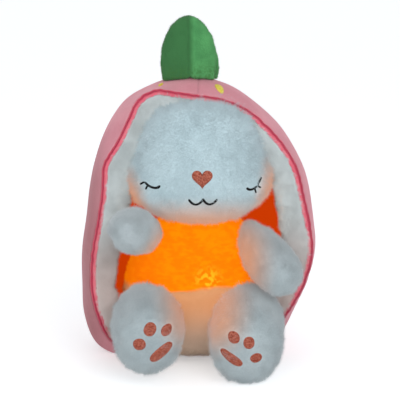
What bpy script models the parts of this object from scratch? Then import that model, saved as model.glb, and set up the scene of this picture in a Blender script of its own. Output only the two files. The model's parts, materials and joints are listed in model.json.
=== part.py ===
"""Plush night light: a sitting rabbit with a lamp in its belly, inside an opened strawberry shell.

Metres, +Z up, the front faces -Y and +X is to the right of someone who looks at the front.
The origin is on the surface it sits on, below the middle of the shell.
"""

import math
from functools import partial

import bmesh
import bpy
from mathutils import Matrix, Vector

for old_object in list(bpy.data.objects):
    bpy.data.objects.remove(old_object)

# Clearances
GAP = 0.0003
RUNNING_GAP = 0.0004
CUT_GAP = 0.0006
OVERRUN = 0.004

# The size at which a joint's mark is drawn
AXIS_MARK = 0.01

# Strawberry shell: outer fabric and lining, open to the front
SHELL_HALF_WIDTH = 0.105
SHELL_HEIGHT = 0.255
SHELL_MIDDLE_Z = 0.115
SHELL_BACK_Y = 0.072
SHELL_WIDEST_Y = 0.005
SIDE_RIM_Y = -0.030
TOP_RIM_Y = -0.026
BASE_RIM_Y = -0.003
SHELL_WALL = 0.003
LINING_WALL = 0.004
BACK_FULLNESS = 2.4
# Rows go round from the middle of the base, up the right side, over the top and down the left
# side: where the shell is widest, as shares of its half width and height, and then its rim.
SHELL_SHARES = (
    (0.00, -0.045, 0.00, -0.045),
    (0.40, -0.045, 0.38, -0.045),
    (0.64, -0.005, 0.59, 0.000),
    (0.77, 0.090, 0.70, 0.110),
    (0.87, 0.190, 0.81, 0.210),
    (0.96, 0.285, 0.90, 0.290),
    (1.01, 0.390, 0.96, 0.390),
    (1.00, 0.490, 0.94, 0.490),
    (0.96, 0.600, 0.88, 0.600),
    (0.90, 0.685, 0.82, 0.700),
    (0.80, 0.765, 0.70, 0.785),
    (0.66, 0.842, 0.54, 0.860),
    (0.48, 0.912, 0.37, 0.915),
    (0.26, 0.970, 0.17, 0.948),
    (0.00, 1.000, -0.02, 0.960),
    (-0.24, 0.992, -0.20, 0.972),
    (-0.44, 0.962, -0.37, 0.980),
    (-0.60, 0.920, -0.52, 0.945),
    (-0.72, 0.858, -0.61, 0.875),
    (-0.81, 0.785, -0.70, 0.800),
    (-0.88, 0.695, -0.81, 0.725),
    (-0.925, 0.600, -0.83, 0.630),
    (-0.96, 0.500, -0.87, 0.520),
    (-0.99, 0.400, -0.92, 0.410),
    (-1.00, 0.280, -0.93, 0.280),
    (-0.985, 0.150, -0.88, 0.170),
    (-0.88, 0.035, -0.78, 0.065),
    (-0.64, -0.020, -0.60, -0.010),
    (-0.40, -0.045, -0.38, -0.045),
)
RIM_RISE_SHARE = 0.25
SHELL_STEPS_ROUND = 44
SHELL_STEPS_FRONT = 3
SHELL_STEPS_BACK = 6

# The two side flaps that fold outward about an upright fold line
FLAP_FROM_X = 0.062
FLAP_SEAM_Y = 0.004
FLAP_BOTTOM_Z = 0.018

# Zip along the rim, its slider and its pull
TAPE_SEAT_GAP = 0.0006
TAPE_FROM_EDGE = 0.0006
TAPE_WIDTH = 0.0056
TAPE_THICKNESS = 0.001
COIL_FROM_EDGE = 0.0014
COIL_WIDTH = 0.0024
COIL_HEIGHT = 0.0014
COIL_TAPER_SHARE = 0.25
SLIDER_LENGTH = 0.009
SLIDER_PLATE = 0.0016
SLIDER_FLANGE = 0.001
LUG_REACH = 0.0028
LUG_THICKNESS = 0.0009
PIN_RADIUS = 0.0007
PULL_LENGTH = 0.015
PULL_WIDTH = 0.0034
PULL_THICKNESS = 0.0011

# Leaves on top of the shell
LEAF_X = -0.008
LEAF_Y = 0.001
LEAF_RISE = 0.055
LEAF_SINK = 0.008
LEAF_TOP_Z = SHELL_HEIGHT + LEAF_RISE
LEAF_ROOT_Z = SHELL_HEIGHT - LEAF_SINK
LEAF_HALF_WIDTH = 0.0255
LEAF_HALF_DEPTH = 0.0095
LEAF_FULLNESS_SHARES = (
    (0.0, 1.10),
    (0.3, 0.95),
    (0.45, 0.97),
    (0.6, 1.0),
    (0.75, 1.0),
    (0.9, 0.98),
    (1.0, 0.95),
)
LEAF_SECTION = 1.4
BACK_LEAF_SHIFT_Y = 0.0105
BACK_LEAF_SHIFT_X = 0.002
BACK_LEAF_DROP = 0.012
BACK_LEAF_EXTRA_WIDTH = 0.0015
LEAF_SWAY_DEGREES = 10.0

# Seeds sewn on the outside of the shell
SEED_LENGTH = 0.0160
SEED_WIDTH = 0.0095
SEED_THICKNESS = 0.0009
SEED_TIP_SHARE = 0.45
SEED_POINTS = 12
# Each seed: its name, how far round the shell it sits, and its place from the rim, at -1,
# over the widest line, at 0, to the middle of the back, at 1
SEED_SHARES = (
    ("seed_top_right", 0.456, -0.60),
    ("seed_top_left", 0.531, -0.35),
    ("seed_right_side", 0.300, 0.22),
    ("seed_left_side", 0.705, 0.22),
    ("seed_back_top", 0.500, 0.46),
    ("seed_back_right", 0.330, 0.62),
    ("seed_back_left", 0.670, 0.62),
)

# Rabbit: torso
TORSO_FROM_SHELL = 0.039
TORSO_HALF_WIDTH = SHELL_HALF_WIDTH - TORSO_FROM_SHELL
TORSO_HALF_DEPTH = 0.0405
TORSO_Y = -0.0025
TORSO_TOP_Z = 0.137
TORSO_LOW_Z = -0.006
TORSO_FULLNESS_SHARES = ((0.0, 1.0), (0.2, 1.04), (0.45, 1.02), (0.7, 0.98), (0.85, 1.0), (1.0, 1.05))
TORSO_LEAN = 0.009

# Rabbit: head
HEAD_X = 0.0005
HEAD_Y = -0.010
HEAD_FROM_SHELL = 0.0435
HEAD_HALF_WIDTH = SHELL_HALF_WIDTH - HEAD_FROM_SHELL
HEAD_HALF_DEPTH = 0.054
HEAD_BOTTOM_Z = 0.1305
HEAD_TOP_Z = 0.2365
HEAD_FULLNESS_SHARES = (
    (0.0, 1.12),
    (0.16, 1.12),
    (0.34, 1.056),
    (0.46, 0.99),
    (0.58, 0.955),
    (0.7, 0.94),
    (0.8, 0.94),
    (1.0, 1.12),
)
NECK_Z = 0.132
NOD_DEGREES = 3.0

# Rabbit: ears, which hang between the head and the lining
EAR_ROOT_IN = 0.0145
EAR_ROOT_X = HEAD_HALF_WIDTH - EAR_ROOT_IN
EAR_ROOT_Y = -0.004
EAR_ROOT_Z = 0.225
EAR_LENGTH = 0.131
EAR_HALF_BREADTH = 0.0240
EAR_HALF_THICKNESS = 0.0125
EAR_TIP_OUT = 0.034
EAR_BULGE = 0.012
EAR_TIP_FORWARD = 0.002
EAR_FULLNESS_SHARES = ((0.0, 0.85), (0.3, 0.95), (0.6, 1.05), (0.85, 1.05), (1.0, 1.0))
EAR_SWING_DEGREES = 4.0
EAR_BLUNTNESS = 2.3
EAR_BULGE_SHARE = 0.7
EAR_ROOM = 0.0012

# Rabbit: arms; each runs from a shoulder to the middle of its paw's end
SHOULDER_X = 0.044
SHOULDER_Y = -0.010
SHOULDER_Z = 0.115
LEFT_PAW = Vector((-0.070, -0.082, 0.140))
LEFT_ARM_RADIUS = 0.0185
RIGHT_PAW = Vector((0.074, -0.082, 0.086))
RIGHT_ARM_RADIUS = 0.0205
ARM_FULLNESS_SHARES = ((0.0, 0.80), (0.3, 0.86), (0.6, 1.02), (0.8, 1.06), (1.0, 1.0))
ARM_SWING_DEGREES = 18.0
PAW_BLUNTNESS = 2.6

# Rabbit: legs, which lie forward with the soles up
HIP_X = 0.044
HIP_Y = -0.004
HIP_Z = 0.047
LEFT_LEG_RADIUS = 0.0300
RIGHT_LEG_RADIUS = 0.0310
# The soles lie a little above and below one leg radius; the right foot stands on the floor
LEFT_SOLE_RISE = 0.0100
LEFT_LEG_HEIGHT_SHARE = 1.1
RIGHT_LEG_HEIGHT_SHARE = 1.21
RIGHT_SOLE_DROP = 0.0005
LEFT_SOLE = Vector((-0.0505, -0.098, LEFT_LEG_RADIUS + LEFT_SOLE_RISE))
RIGHT_SOLE = Vector((0.0345, -0.102, RIGHT_LEG_RADIUS - RIGHT_SOLE_DROP))
LEG_FULLNESS_SHARES = ((0.0, 0.95), (0.3, 1.0), (0.6, 0.97), (0.85, 1.02), (1.0, 1.03))
SOLE_FLATNESS = 2.9
LEG_LIFT_DEGREES = 10.0

# Embroidery: nose, mouth, eyes and paw pads
PATCH_THICKNESS = 0.0009
NOSE_X = -0.001
NOSE_Z = 0.1745
NOSE_WIDTH = 0.0175
NOSE_HEIGHT = 0.0158
NOSE_POINTS = 20
HEART_WAVE_SHARES = (0.448, -0.172, -0.069, -0.034)
HEART_LIFT_SHARE = 0.086
MOUTH_Z = 0.1560
MOUTH_HALF_WIDTH = 0.0125
MOUTH_DROP = 0.0052
STROKE = 0.0018
LEFT_EYE_X = -0.0440
RIGHT_EYE_X = 0.0430
EYE_Z = 0.1690
EYE_HALF_WIDTH = 0.0075
EYE_SAG = 0.0032
EYE_TILT_DEGREES = 16.0
LASH_LENGTH = 0.0048
# A paw pad: across and up from the sole's middle, length and width, and its tilt in degrees
LEFT_PADS = (
    ("toe_pad_outer", -0.0064, 0.0020, 0.0110, 0.0104, 0.0),
    ("toe_pad_middle", 0.0027, 0.0150, 0.0112, 0.0106, 0.0),
    ("toe_pad_inner", 0.0168, 0.0170, 0.0108, 0.0090, 0.0),
    ("ball_pad", 0.0123, -0.0045, 0.0245, 0.0095, 41.0),
)
RIGHT_PADS = (
    ("toe_pad_inner", -0.0112, 0.0175, 0.0112, 0.0102, 0.0),
    ("toe_pad_middle", 0.0021, 0.0128, 0.0108, 0.0098, 0.0),
    ("toe_pad_outer", 0.0083, -0.0014, 0.0108, 0.0088, 30.0),
    ("ball_pad", -0.0134, 0.0002, 0.0225, 0.0085, -34.0),
)
PAD_POINTS = 12
MOUTH_STEPS = 6
MOUTH_ROUND_SHARE = 0.8
EYE_STEPS = 3
LASH_STROKE = 0.0013
LASH_LEAN_SHARES = (0.75, 0.35)

# Lamp module in a pocket of the torso, its axis along Y: its size comes from three AAA cells
LAMP_Z = 0.078
CELL_RADIUS = 0.00525
CELL_LENGTH = 0.0445
CELL_BUTTON_RADIUS = 0.0019
CELL_BUTTON = 0.0008
CELL_SIDE_GAP = 0.0004
CELL_SPACING = CELL_RADIUS * 2 + CELL_SIDE_GAP
CELL_COUNT = 3
CELL_ROOM = 0.0007
CONTACT_THICKNESS = 0.0005
CONTACT_BEYOND = 0.0041
CONTACT_HALF_HEIGHT = CELL_SPACING + CONTACT_BEYOND
CONTACT_SHORT = 0.002
CONTACT_DEPTH = CELL_RADIUS * 2 - CONTACT_SHORT
DECK_Y = 0.0180
DECK_THICKNESS = 0.002
DOOR_THICKNESS = 0.0018
CASE_ROOM = 0.00925
CASE_RADIUS = CELL_LENGTH / 2 + CASE_ROOM
CASE_WALL = 0.0018
CASE_FRONT_Y = 0.004
CASE_BACK_Y = DECK_Y + DECK_THICKNESS + CELL_RADIUS * 2 + CELL_ROOM + DOOR_THICKNESS
BEZEL_THICKNESS = 0.002
BEZEL_RIM = 0.007
BEZEL_OPENING = CASE_RADIUS - BEZEL_RIM
BEZEL_LIP = 0.003
BEZEL_LIP_WALL = 0.0012
DOME_SIDE_GAP = 0.0007
DOME_RADIUS = BEZEL_OPENING - DOME_SIDE_GAP
DOME_FRONT_Y = -0.034
DOME_WALL = 0.0016
DOME_FLANGE = 0.0012
DOME_FLANGE_REACH = 0.0024
DOME_FLANGE_RADIUS = DOME_RADIUS + DOME_FLANGE_REACH
DOME_STEPS = 5
STEM_RADIUS = 0.002
PRESS_TRAVEL = 0.0012
BOARD_FROM_EDGE = 0.0035
BOARD_RADIUS = CASE_RADIUS - BOARD_FROM_EDGE
BOARD_THICKNESS = 0.0016
BOARD_Y = 0.0110
LEDGE_WIDTH = 0.0035
LED_COUNT = 4
LED_FROM_DOME = 0.0088
LED_RING_RADIUS = DOME_RADIUS - LED_FROM_DOME
LED_RADIUS = 0.0025
LED_HEIGHT = 0.0028
SWITCH_SIDE = 0.006
SWITCH_HEIGHT = 0.0034
PLUNGER_RADIUS = 0.0017
PLUNGER_OUT = 0.0022
PLUNGER_IN = 0.0009
SCREW_RADIUS = 0.0011
SCREW_HEAD_RADIUS = 0.0021
SCREW_HEAD = 0.0008
SCREW_LENGTH = 0.005
SCREW_SLOT = 0.0006
BOSS_RADIUS = 0.0028
BOSS_FROM_EDGE = 0.007
BOSS_DROP = CASE_RADIUS - BOSS_FROM_EDGE
WIRE_RADIUS = 0.0007
WIRE_END_Y = 0.0265
POCKET_GAP = 0.0012

# Facet counts
BLOB_STEPS_ROUND = 22
BLOB_STEPS_UP = 12
LIMB_STEPS_ROUND = 16
LIMB_STEPS_ALONG = 10
TUBE_SIDES = 24
ROD_SIDES = 16
PIN_SIDES = 12
LED_SIDES = 10
WIRE_SIDES = 8
PATH_STEP_SHARE = 0.02
OUTLINE_STEP_SHARE = 0.25
SHARP_ANGLE_DEGREES = 40.0

SHELL_LINED = SHELL_WALL + GAP + LINING_WALL
# The height at which the rabbit sits on the lining
FLOOR_Z = SHELL_LINED + GAP


def paint(name, colour, roughness, metallic=0.0):
    """A plain material with the colour, roughness and metalness of the real piece."""
    made = bpy.data.materials.new(name)
    made.use_nodes = True
    surface = made.node_tree.nodes["Principled BSDF"]
    surface.inputs["Base Color"].default_value = (*colour, 1.0)
    surface.inputs["Roughness"].default_value = roughness
    surface.inputs["Metallic"].default_value = metallic
    made.diffuse_color = (*colour, 1.0)
    return made


def add_piece(name, mesh, material):
    """Put a mesh into the scene as a named piece with its own material."""
    piece = bpy.data.objects.new(name, mesh)
    bpy.context.scene.collection.objects.link(piece)
    mesh.materials.clear()
    mesh.materials.append(paint(name, *material))
    return piece


def add_surface(work, rings):
    """Skin rings of points with triangles that are split the same way on every surface."""
    rows = [[work.verts.new(point) for point in ring] for ring in rings]
    for lower, upper in zip(rows, rows[1:]):
        count = max(len(lower), len(upper))
        for here in range(count):
            after = (here + 1) % count
            start = lower[here % len(lower)]
            end = upper[after % len(upper)]
            for third in (lower[after % len(lower)], upper[here % len(upper)]):
                if third not in (start, end):
                    work.faces.new((start, third, end))
    return rows


def loft(name, rings, material):
    """A closed body through rings of points; a ring of one point closes an end in a tip."""
    work = bmesh.new()
    rows = add_surface(work, rings)
    for end in (rows[0], rows[-1]):
        if len(end) > 1:
            work.faces.new(end)
    return finish_mesh(name, work, material)


def finish_mesh(name, work, material):
    """Turn a working mesh into a piece with its faces pointing out."""
    bmesh.ops.recalc_face_normals(work, faces=work.faces[:])
    mesh = bpy.data.meshes.new(name)
    work.to_mesh(mesh)
    work.free()
    return add_piece(name, mesh, material)


def combine(piece, tools, operation):
    """Cut, join or intersect a piece with other bodies, which are used up."""
    for tool in tools:
        step = piece.modifiers.new(tool.name, "BOOLEAN")
        step.operation = operation
        step.solver = "EXACT"
        step.object = tool
    depsgraph = bpy.context.evaluated_depsgraph_get()
    result = bpy.data.meshes.new_from_object(piece.evaluated_get(depsgraph))
    before = piece.data
    piece.modifiers.clear()
    piece.data = result
    bpy.data.meshes.remove(before)
    for tool in tools:
        bpy.data.objects.remove(tool)
    return piece


def cut(piece, *tools):
    return combine(piece, tools, "DIFFERENCE")


def join(piece, *tools):
    return combine(piece, tools, "UNION")


def keep(piece, *tools):
    return combine(piece, tools, "INTERSECT")


def repaint(piece, material):
    """Give a piece its own material again."""
    piece.data.materials.clear()
    piece.data.materials.append(paint(piece.name, *material))
    return piece


def copy_piece(piece, name, material):
    return add_piece(name, piece.data.copy(), material)


def box(name, low, high, material):
    """A block between two corners."""
    work = bmesh.new()
    bmesh.ops.create_cube(work, size=1.0)
    for corner in work.verts:
        for axis in range(3):
            corner.co[axis] = high[axis] if corner.co[axis] > 0 else low[axis]
    return finish_mesh(name, work, material)


def turned(name, profile, centre, material, sides=TUBE_SIDES):
    """A body of revolution about an axis along Y: rows of radius and distance along Y."""
    rings = []
    for radius, along in profile:
        if radius == 0:
            rings.append([centre + Vector((0, along, 0))])
            continue
        ring = []
        for side in range(sides):
            turn = math.tau * side / sides
            ring.append(centre + Vector((radius * math.cos(turn), along, radius * math.sin(turn))))
        rings.append(ring)
    return loft(name, rings, material)


def upright_rod(name, centre_y, radius, low, high, material):
    """A round rod along Z in the middle plane."""
    rings = []
    for height in (low, high):
        ring = []
        for side in range(PIN_SIDES):
            turn = math.tau * side / PIN_SIDES
            ring.append(Vector((radius * math.cos(turn), centre_y + radius * math.sin(turn), height)))
        rings.append(ring)
    return loft(name, rings, material)


def between(rows, place):
    """The value at a place in a table of rows (place, value), on a smooth curve."""
    for before, after in zip(rows, rows[1:]):
        if place <= after[0]:
            part = (place - before[0]) / (after[0] - before[0])
            eased = part * part * (3 - 2 * part)
            return before[1] + (after[1] - before[1]) * eased
    return rows[-1][1]


def spread(value, fullness):
    """A sine or cosine drawn toward a squarer or a more pointed section."""
    return math.copysign(abs(value) ** (2 / fullness), value)


def closed_curve(rows, place):
    """A point on the smooth closed curve through rows, at a share of the way round."""
    count = len(rows)
    spot = place * count
    first = math.floor(spot)
    part = spot - first
    near = [Vector(rows[(first + step) % count]) for step in (-1, 0, 1, 2)]
    straight = near[1] * 2
    rise = (near[2] - near[0]) * part
    bend = (near[0] * 2 - near[1] * 5 + near[2] * 4 - near[3]) * part**2
    twist = (near[1] * 3 - near[0] - near[2] * 3 + near[3]) * part**3
    return (straight + rise + bend + twist) / 2


# Shell

PINK = ((0.80, 0.25, 0.30), 0.85)
WHITE_PLUSH = ((0.82, 0.84, 0.85), 0.95)
CRIMSON = ((0.62, 0.06, 0.13), 0.6)
CRIMSON_METAL = ((0.55, 0.05, 0.11), 0.35, 0.6)
GREEN = ((0.06, 0.30, 0.07), 0.9)
YELLOW = ((0.75, 0.60, 0.12), 0.7)
BROWN = ((0.36, 0.09, 0.04), 0.7)
BLACK_THREAD = ((0.01, 0.01, 0.01), 0.6)
WHITE_PLASTIC = ((0.80, 0.80, 0.78), 0.4)
CLEAR_PLASTIC = ((0.95, 0.80, 0.55), 0.2)
BOARD_GREEN = ((0.02, 0.22, 0.08), 0.5)
LED_AMBER = ((1.0, 0.45, 0.05), 0.2)
DARK_PLASTIC = ((0.03, 0.03, 0.03), 0.5)
CELL_SLEEVE = ((0.10, 0.12, 0.30), 0.35)
STEEL = ((0.60, 0.60, 0.58), 0.3, 1.0)
WIRE_RED = ((0.55, 0.03, 0.02), 0.5)


def outline_pair(place, inset):
    """Across and up of the widest line and of the rim, moved in by an inset."""
    step = OUTLINE_STEP_SHARE / SHELL_STEPS_ROUND
    here = closed_curve(SHELL_SHARES, place)
    before = closed_curve(SHELL_SHARES, place - step)
    after = closed_curve(SHELL_SHARES, place + step)
    pair = []
    for first in (0, 2):
        spot = Vector((here[first] * SHELL_HALF_WIDTH, here[first + 1] * SHELL_HEIGHT))
        along = Vector(
            (
                (after[first] - before[first]) * SHELL_HALF_WIDTH,
                (after[first + 1] - before[first + 1]) * SHELL_HEIGHT,
            )
        ).normalized()
        pair.append(spot + Vector((-along.y, along.x)) * inset)
    return pair


def rim_y(place):
    """How far forward the rim stands: less at the base, where the seat is, and at the top."""
    height = closed_curve(SHELL_SHARES, place)[3]
    low = min(max(height / RIM_RISE_SHARE, 0), 1)
    risen = low * low * (3 - 2 * low)
    high = min(max((height - 1 + RIM_RISE_SHARE) / RIM_RISE_SHARE, 0), 1)
    side = SIDE_RIM_Y + (TOP_RIM_Y - SIDE_RIM_Y) * high
    return BASE_RIM_Y + (side - BASE_RIM_Y) * risen


def shell_point(place, along, inset):
    """A point of the shell: along runs from -1 at the rim over 0, the widest line, to 1 at the back."""
    widest, rim = outline_pair(place, inset)
    if along < 0:
        part = 1 + along
        flat = rim + (widest - rim) * (1 - (1 - part) ** 2)
        depth = rim_y(place) + (SHELL_WIDEST_Y - rim_y(place)) * part
    else:
        turn = along * math.pi / 2
        middle = Vector((0, SHELL_MIDDLE_Z))
        flat = middle + (widest - middle) * spread(math.cos(turn), BACK_FULLNESS)
        back = SHELL_BACK_Y - inset - SHELL_WIDEST_Y
        depth = SHELL_WIDEST_Y + back * spread(math.sin(turn), BACK_FULLNESS)
    return Vector((flat.x, depth, max(flat.y, inset)))


def shell_rings(inset):
    """The rings of one surface of the shell, from the rim to the middle of the back."""
    places = [step / SHELL_STEPS_ROUND for step in range(SHELL_STEPS_ROUND)]
    rings = []
    for step in range(SHELL_STEPS_FRONT):
        rings.append([shell_point(place, step / SHELL_STEPS_FRONT - 1, inset) for place in places])
    for step in range(SHELL_STEPS_BACK):
        rings.append([shell_point(place, step / SHELL_STEPS_BACK, inset) for place in places])
    rings.append([shell_point(0, 1, inset)])
    return rings


def shell_layer(name, outer_inset, inner_inset, material):
    """One layer of the shell, closed along the rim."""
    work = bmesh.new()
    outside = add_surface(work, shell_rings(outer_inset))[0]
    inside = add_surface(work, shell_rings(inner_inset))[0]
    for here in range(SHELL_STEPS_ROUND):
        after = (here + 1) % SHELL_STEPS_ROUND
        work.faces.new((outside[here], outside[after], inside[after], inside[here]))
    return finish_mesh(name, work, material)


def shell_form(name, inset):
    """The space inside one surface of the shell, closed flat across the rim."""
    return loft(name, shell_rings(inset), PINK)


def zip_band(name):
    """The zip's tape and coil, which lie on the rim all the way round."""
    tape_end = TAPE_FROM_EDGE + TAPE_WIDTH
    coil_end = COIL_FROM_EDGE + COIL_WIDTH
    crown = TAPE_THICKNESS + COIL_HEIGHT
    slope = COIL_WIDTH * COIL_TAPER_SHARE
    section = (
        (TAPE_FROM_EDGE, 0),
        (TAPE_FROM_EDGE, TAPE_THICKNESS),
        (COIL_FROM_EDGE, TAPE_THICKNESS),
        (COIL_FROM_EDGE + slope, crown),
        (coil_end - slope, crown),
        (coil_end, TAPE_THICKNESS),
        (tape_end, TAPE_THICKNESS),
        (tape_end, 0),
    )
    work = bmesh.new()
    loops = []
    for step in range(SHELL_STEPS_ROUND):
        place = step / SHELL_STEPS_ROUND
        loop = []
        for inset, height in section:
            spot = shell_point(place, -1, inset)
            spot.y -= TAPE_SEAT_GAP + height
            loop.append(work.verts.new(spot))
        loops.append(loop)
    for step, loop in enumerate(loops):
        after = loops[(step + 1) % len(loops)]
        for here in range(len(section)):
            there = (here + 1) % len(section)
            work.faces.new((loop[here], loop[there], after[there], after[here]))
    return finish_mesh(name, work, CRIMSON)


def flap_box(name, side, grow):
    """The space of one flap, made larger or smaller by half of the cut's width."""
    far = SHELL_HALF_WIDTH * 2
    near = FLAP_FROM_X - grow
    low_x, high_x = (near, far) if side > 0 else (-far, -near)
    low = (low_x, -far, FLAP_BOTTOM_Z - grow)
    high = (high_x, FLAP_SEAM_Y + grow, SHELL_HEIGHT + far)
    return box(name, low, high, PINK)


def split_flaps(whole, root_name, flap_names, material):
    """Cut the two flaps from a layer that goes all the way round."""
    made = []
    for name, side in zip(flap_names, (-1, 1)):
        flap = copy_piece(whole, name, material)
        made.append(keep(flap, flap_box("flap_space", side, -CUT_GAP / 2)))
    spaces = [flap_box("flap_space", side, CUT_GAP / 2) for side in (-1, 1)]
    root = cut(whole, *spaces)
    root.name = root_name
    return [root] + made


def build_shell():
    outer = shell_layer("shell_outer", 0, SHELL_WALL, PINK)
    lining = shell_layer("shell_lining", SHELL_WALL + GAP, SHELL_LINED, WHITE_PLUSH)
    band = zip_band("zip_tape")
    made = split_flaps(outer, "shell_outer", ("flap_left", "flap_right"), PINK)
    made += split_flaps(lining, "shell_lining", ("flap_left_lining", "flap_right_lining"), WHITE_PLUSH)
    made += split_flaps(band, "zip_tape_top", ("zip_tape_left", "zip_tape_right"), CRIMSON)
    far = SHELL_HALF_WIDTH * 2
    below = ((-far, -far, -far), (far, far, SHELL_MIDDLE_Z))
    top = next(piece for piece in made if piece.name == "zip_tape_top")
    base = keep(copy_piece(top, "zip_tape_base", CRIMSON), box("lower", *below, CRIMSON))
    cut(top, box("lower", *below, CRIMSON))
    return {piece.name: piece for piece in made + [base]}


def build_slider():
    """The slider rides over the coil on the straight run of the rim below the seat."""
    front = BASE_RIM_Y - TAPE_SEAT_GAP - TAPE_THICKNESS - COIL_HEIGHT - GAP
    top = TAPE_FROM_EDGE + TAPE_WIDTH + GAP
    plate_front = front - SLIDER_PLATE
    half = SLIDER_LENGTH / 2
    middle_z = (TAPE_FROM_EDGE + top) / 2
    flange_top = top + SLIDER_FLANGE
    plate = ((-half, plate_front, TAPE_FROM_EDGE), (half, front, flange_top))
    slider = box("zip_slider", *plate, CRIMSON_METAL)
    flange = ((-half, front - SLIDER_PLATE / 2, top), (half, BASE_RIM_Y - GAP, flange_top))
    join(slider, box("flange", *flange, CRIMSON_METAL))
    pin_y = plate_front - LUG_REACH / 2
    pull_low = middle_z - PULL_WIDTH / 2
    pull_high = middle_z + PULL_WIDTH / 2
    lug_half = LUG_REACH / 2
    for low in (pull_low - GAP - LUG_THICKNESS, pull_high + GAP):
        lug = box(
            "lug",
            (-lug_half, plate_front - LUG_REACH, low),
            (lug_half, plate_front + SLIDER_PLATE / 2, low + LUG_THICKNESS),
            CRIMSON_METAL,
        )
        join(slider, lug)
    pin_ends = (pull_low - LUG_THICKNESS, pull_high + LUG_THICKNESS)
    join(slider, upright_rod("pin", pin_y, PIN_RADIUS, *pin_ends, CRIMSON_METAL))
    eye = upright_rod("zip_pull", pin_y, lug_half - GAP, pull_low, pull_high, CRIMSON_METAL)
    tab = box(
        "tab",
        (0, pin_y - PULL_THICKNESS / 2, pull_low),
        (PULL_LENGTH, pin_y + PULL_THICKNESS / 2, pull_high),
        CRIMSON_METAL,
    )
    join(eye, tab)
    hole_ends = (pull_low - OVERRUN, pull_high + OVERRUN)
    cut(eye, upright_rod("hole", pin_y, PIN_RADIUS + GAP, *hole_ends, CRIMSON_METAL))
    return slider, eye, Vector((0, pin_y, middle_z))


# Soft forms

ACROSS = Vector((1, 0, 0))
DEEP = Vector((0, 1, 0))
UPWARD = Vector((0, 0, 1))
NECK = Vector((0, 0, NECK_Z))


def blob_rings(middle, heights, half_width, half_depth, rows, grow, floor=None, lean=0.0):
    """Level rings of a stuffed form that swells and tapers with its height."""
    low, high = heights
    centre_x, centre_y = middle
    rings = []
    for step in range(BLOB_STEPS_UP + 1):
        turn = math.pi * step / BLOB_STEPS_UP
        share = (1 - math.cos(turn)) / 2
        height = low - grow + (high - low + grow * 2) * share
        swell = math.sin(turn) * between(rows, share)
        level = height if floor is None else max(height, floor - grow)
        forward = centre_y - lean * (1 - share) ** 2
        if step in (0, BLOB_STEPS_UP):
            rings.append([Vector((centre_x, forward, level))])
            continue
        ring = []
        for side in range(BLOB_STEPS_ROUND):
            around = math.tau * side / BLOB_STEPS_ROUND
            across = (half_width * swell + grow) * math.cos(around)
            deep = (half_depth * swell + grow) * math.sin(around)
            ring.append(Vector((centre_x + across, forward + deep, level)))
        rings.append(ring)
    return rings


def torso_form(name, grow=0.0):
    rings = blob_rings(
        (0, TORSO_Y),
        (TORSO_LOW_Z, TORSO_TOP_Z),
        TORSO_HALF_WIDTH,
        TORSO_HALF_DEPTH,
        TORSO_FULLNESS_SHARES,
        grow,
        FLOOR_Z,
        TORSO_LEAN,
    )
    return loft(name, rings, WHITE_PLUSH)


def head_form(name, grow=0.0):
    rings = blob_rings(
        (HEAD_X, HEAD_Y),
        (HEAD_BOTTOM_Z, HEAD_TOP_Z),
        HEAD_HALF_WIDTH,
        HEAD_HALF_DEPTH,
        HEAD_FULLNESS_SHARES,
        grow,
    )
    return loft(name, rings, WHITE_PLUSH)


def limb_rings(path, across, half_across, half_other, rows, flatness, grow):
    """Rings along a path, whose ends are rounded; flatness above 2 makes the far end blunter."""
    rings = []
    for step in range(LIMB_STEPS_ALONG + 1):
        turn = math.pi * step / LIMB_STEPS_ALONG
        blunt = 2 + (flatness - 2) * step / LIMB_STEPS_ALONG
        share = (1 - spread(math.cos(turn), blunt)) / 2
        swell = spread(math.sin(turn), blunt) if 0 < step < LIMB_STEPS_ALONG else 0
        ahead = path(min(share + PATH_STEP_SHARE, 1)) - path(max(share - PATH_STEP_SHARE, 0))
        ahead.normalize()
        centre = path(share)
        if step == 0:
            centre -= ahead * grow
        if step == LIMB_STEPS_ALONG:
            centre += ahead * grow
        if swell == 0:
            rings.append([centre])
            continue
        side = (across - ahead * across.dot(ahead)).normalized()
        other = ahead.cross(side)
        wide = half_across * swell * between(rows, share) + grow
        deep = half_other * swell * between(rows, share) + grow
        ring = []
        for spot in range(LIMB_STEPS_ROUND):
            around = math.tau * spot / LIMB_STEPS_ROUND
            ring.append(centre + side * (wide * math.cos(around)) + other * (deep * math.sin(around)))
        rings.append(ring)
    return rings


def straight_path(start, end):
    return lambda share: start + (end - start) * share


def arm_form(name, side, grow=0.0):
    paw = RIGHT_PAW if side > 0 else LEFT_PAW
    radius = RIGHT_ARM_RADIUS if side > 0 else LEFT_ARM_RADIUS
    shoulder = Vector((side * SHOULDER_X, SHOULDER_Y, SHOULDER_Z))
    root = shoulder - (paw - shoulder).normalized() * radius / 2
    path = straight_path(root, paw)
    rings = limb_rings(path, ACROSS, radius, radius, ARM_FULLNESS_SHARES, PAW_BLUNTNESS, grow)
    return loft(name, rings, WHITE_PLUSH)


def leg_form(name, grow=0.0, side=1):
    sole = RIGHT_SOLE if side > 0 else LEFT_SOLE
    radius = RIGHT_LEG_RADIUS if side > 0 else LEFT_LEG_RADIUS
    hip = Vector((side * HIP_X, HIP_Y, HIP_Z))
    path = straight_path(hip, sole)
    tall = radius * (RIGHT_LEG_HEIGHT_SHARE if side > 0 else LEFT_LEG_HEIGHT_SHARE)
    rings = limb_rings(path, ACROSS, radius, tall, LEG_FULLNESS_SHARES, SOLE_FLATNESS, grow)
    return loft(name, rings, WHITE_PLUSH)


def ear_root(side):
    return Vector((HEAD_X + side * EAR_ROOT_X, EAR_ROOT_Y, EAR_ROOT_Z))


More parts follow.
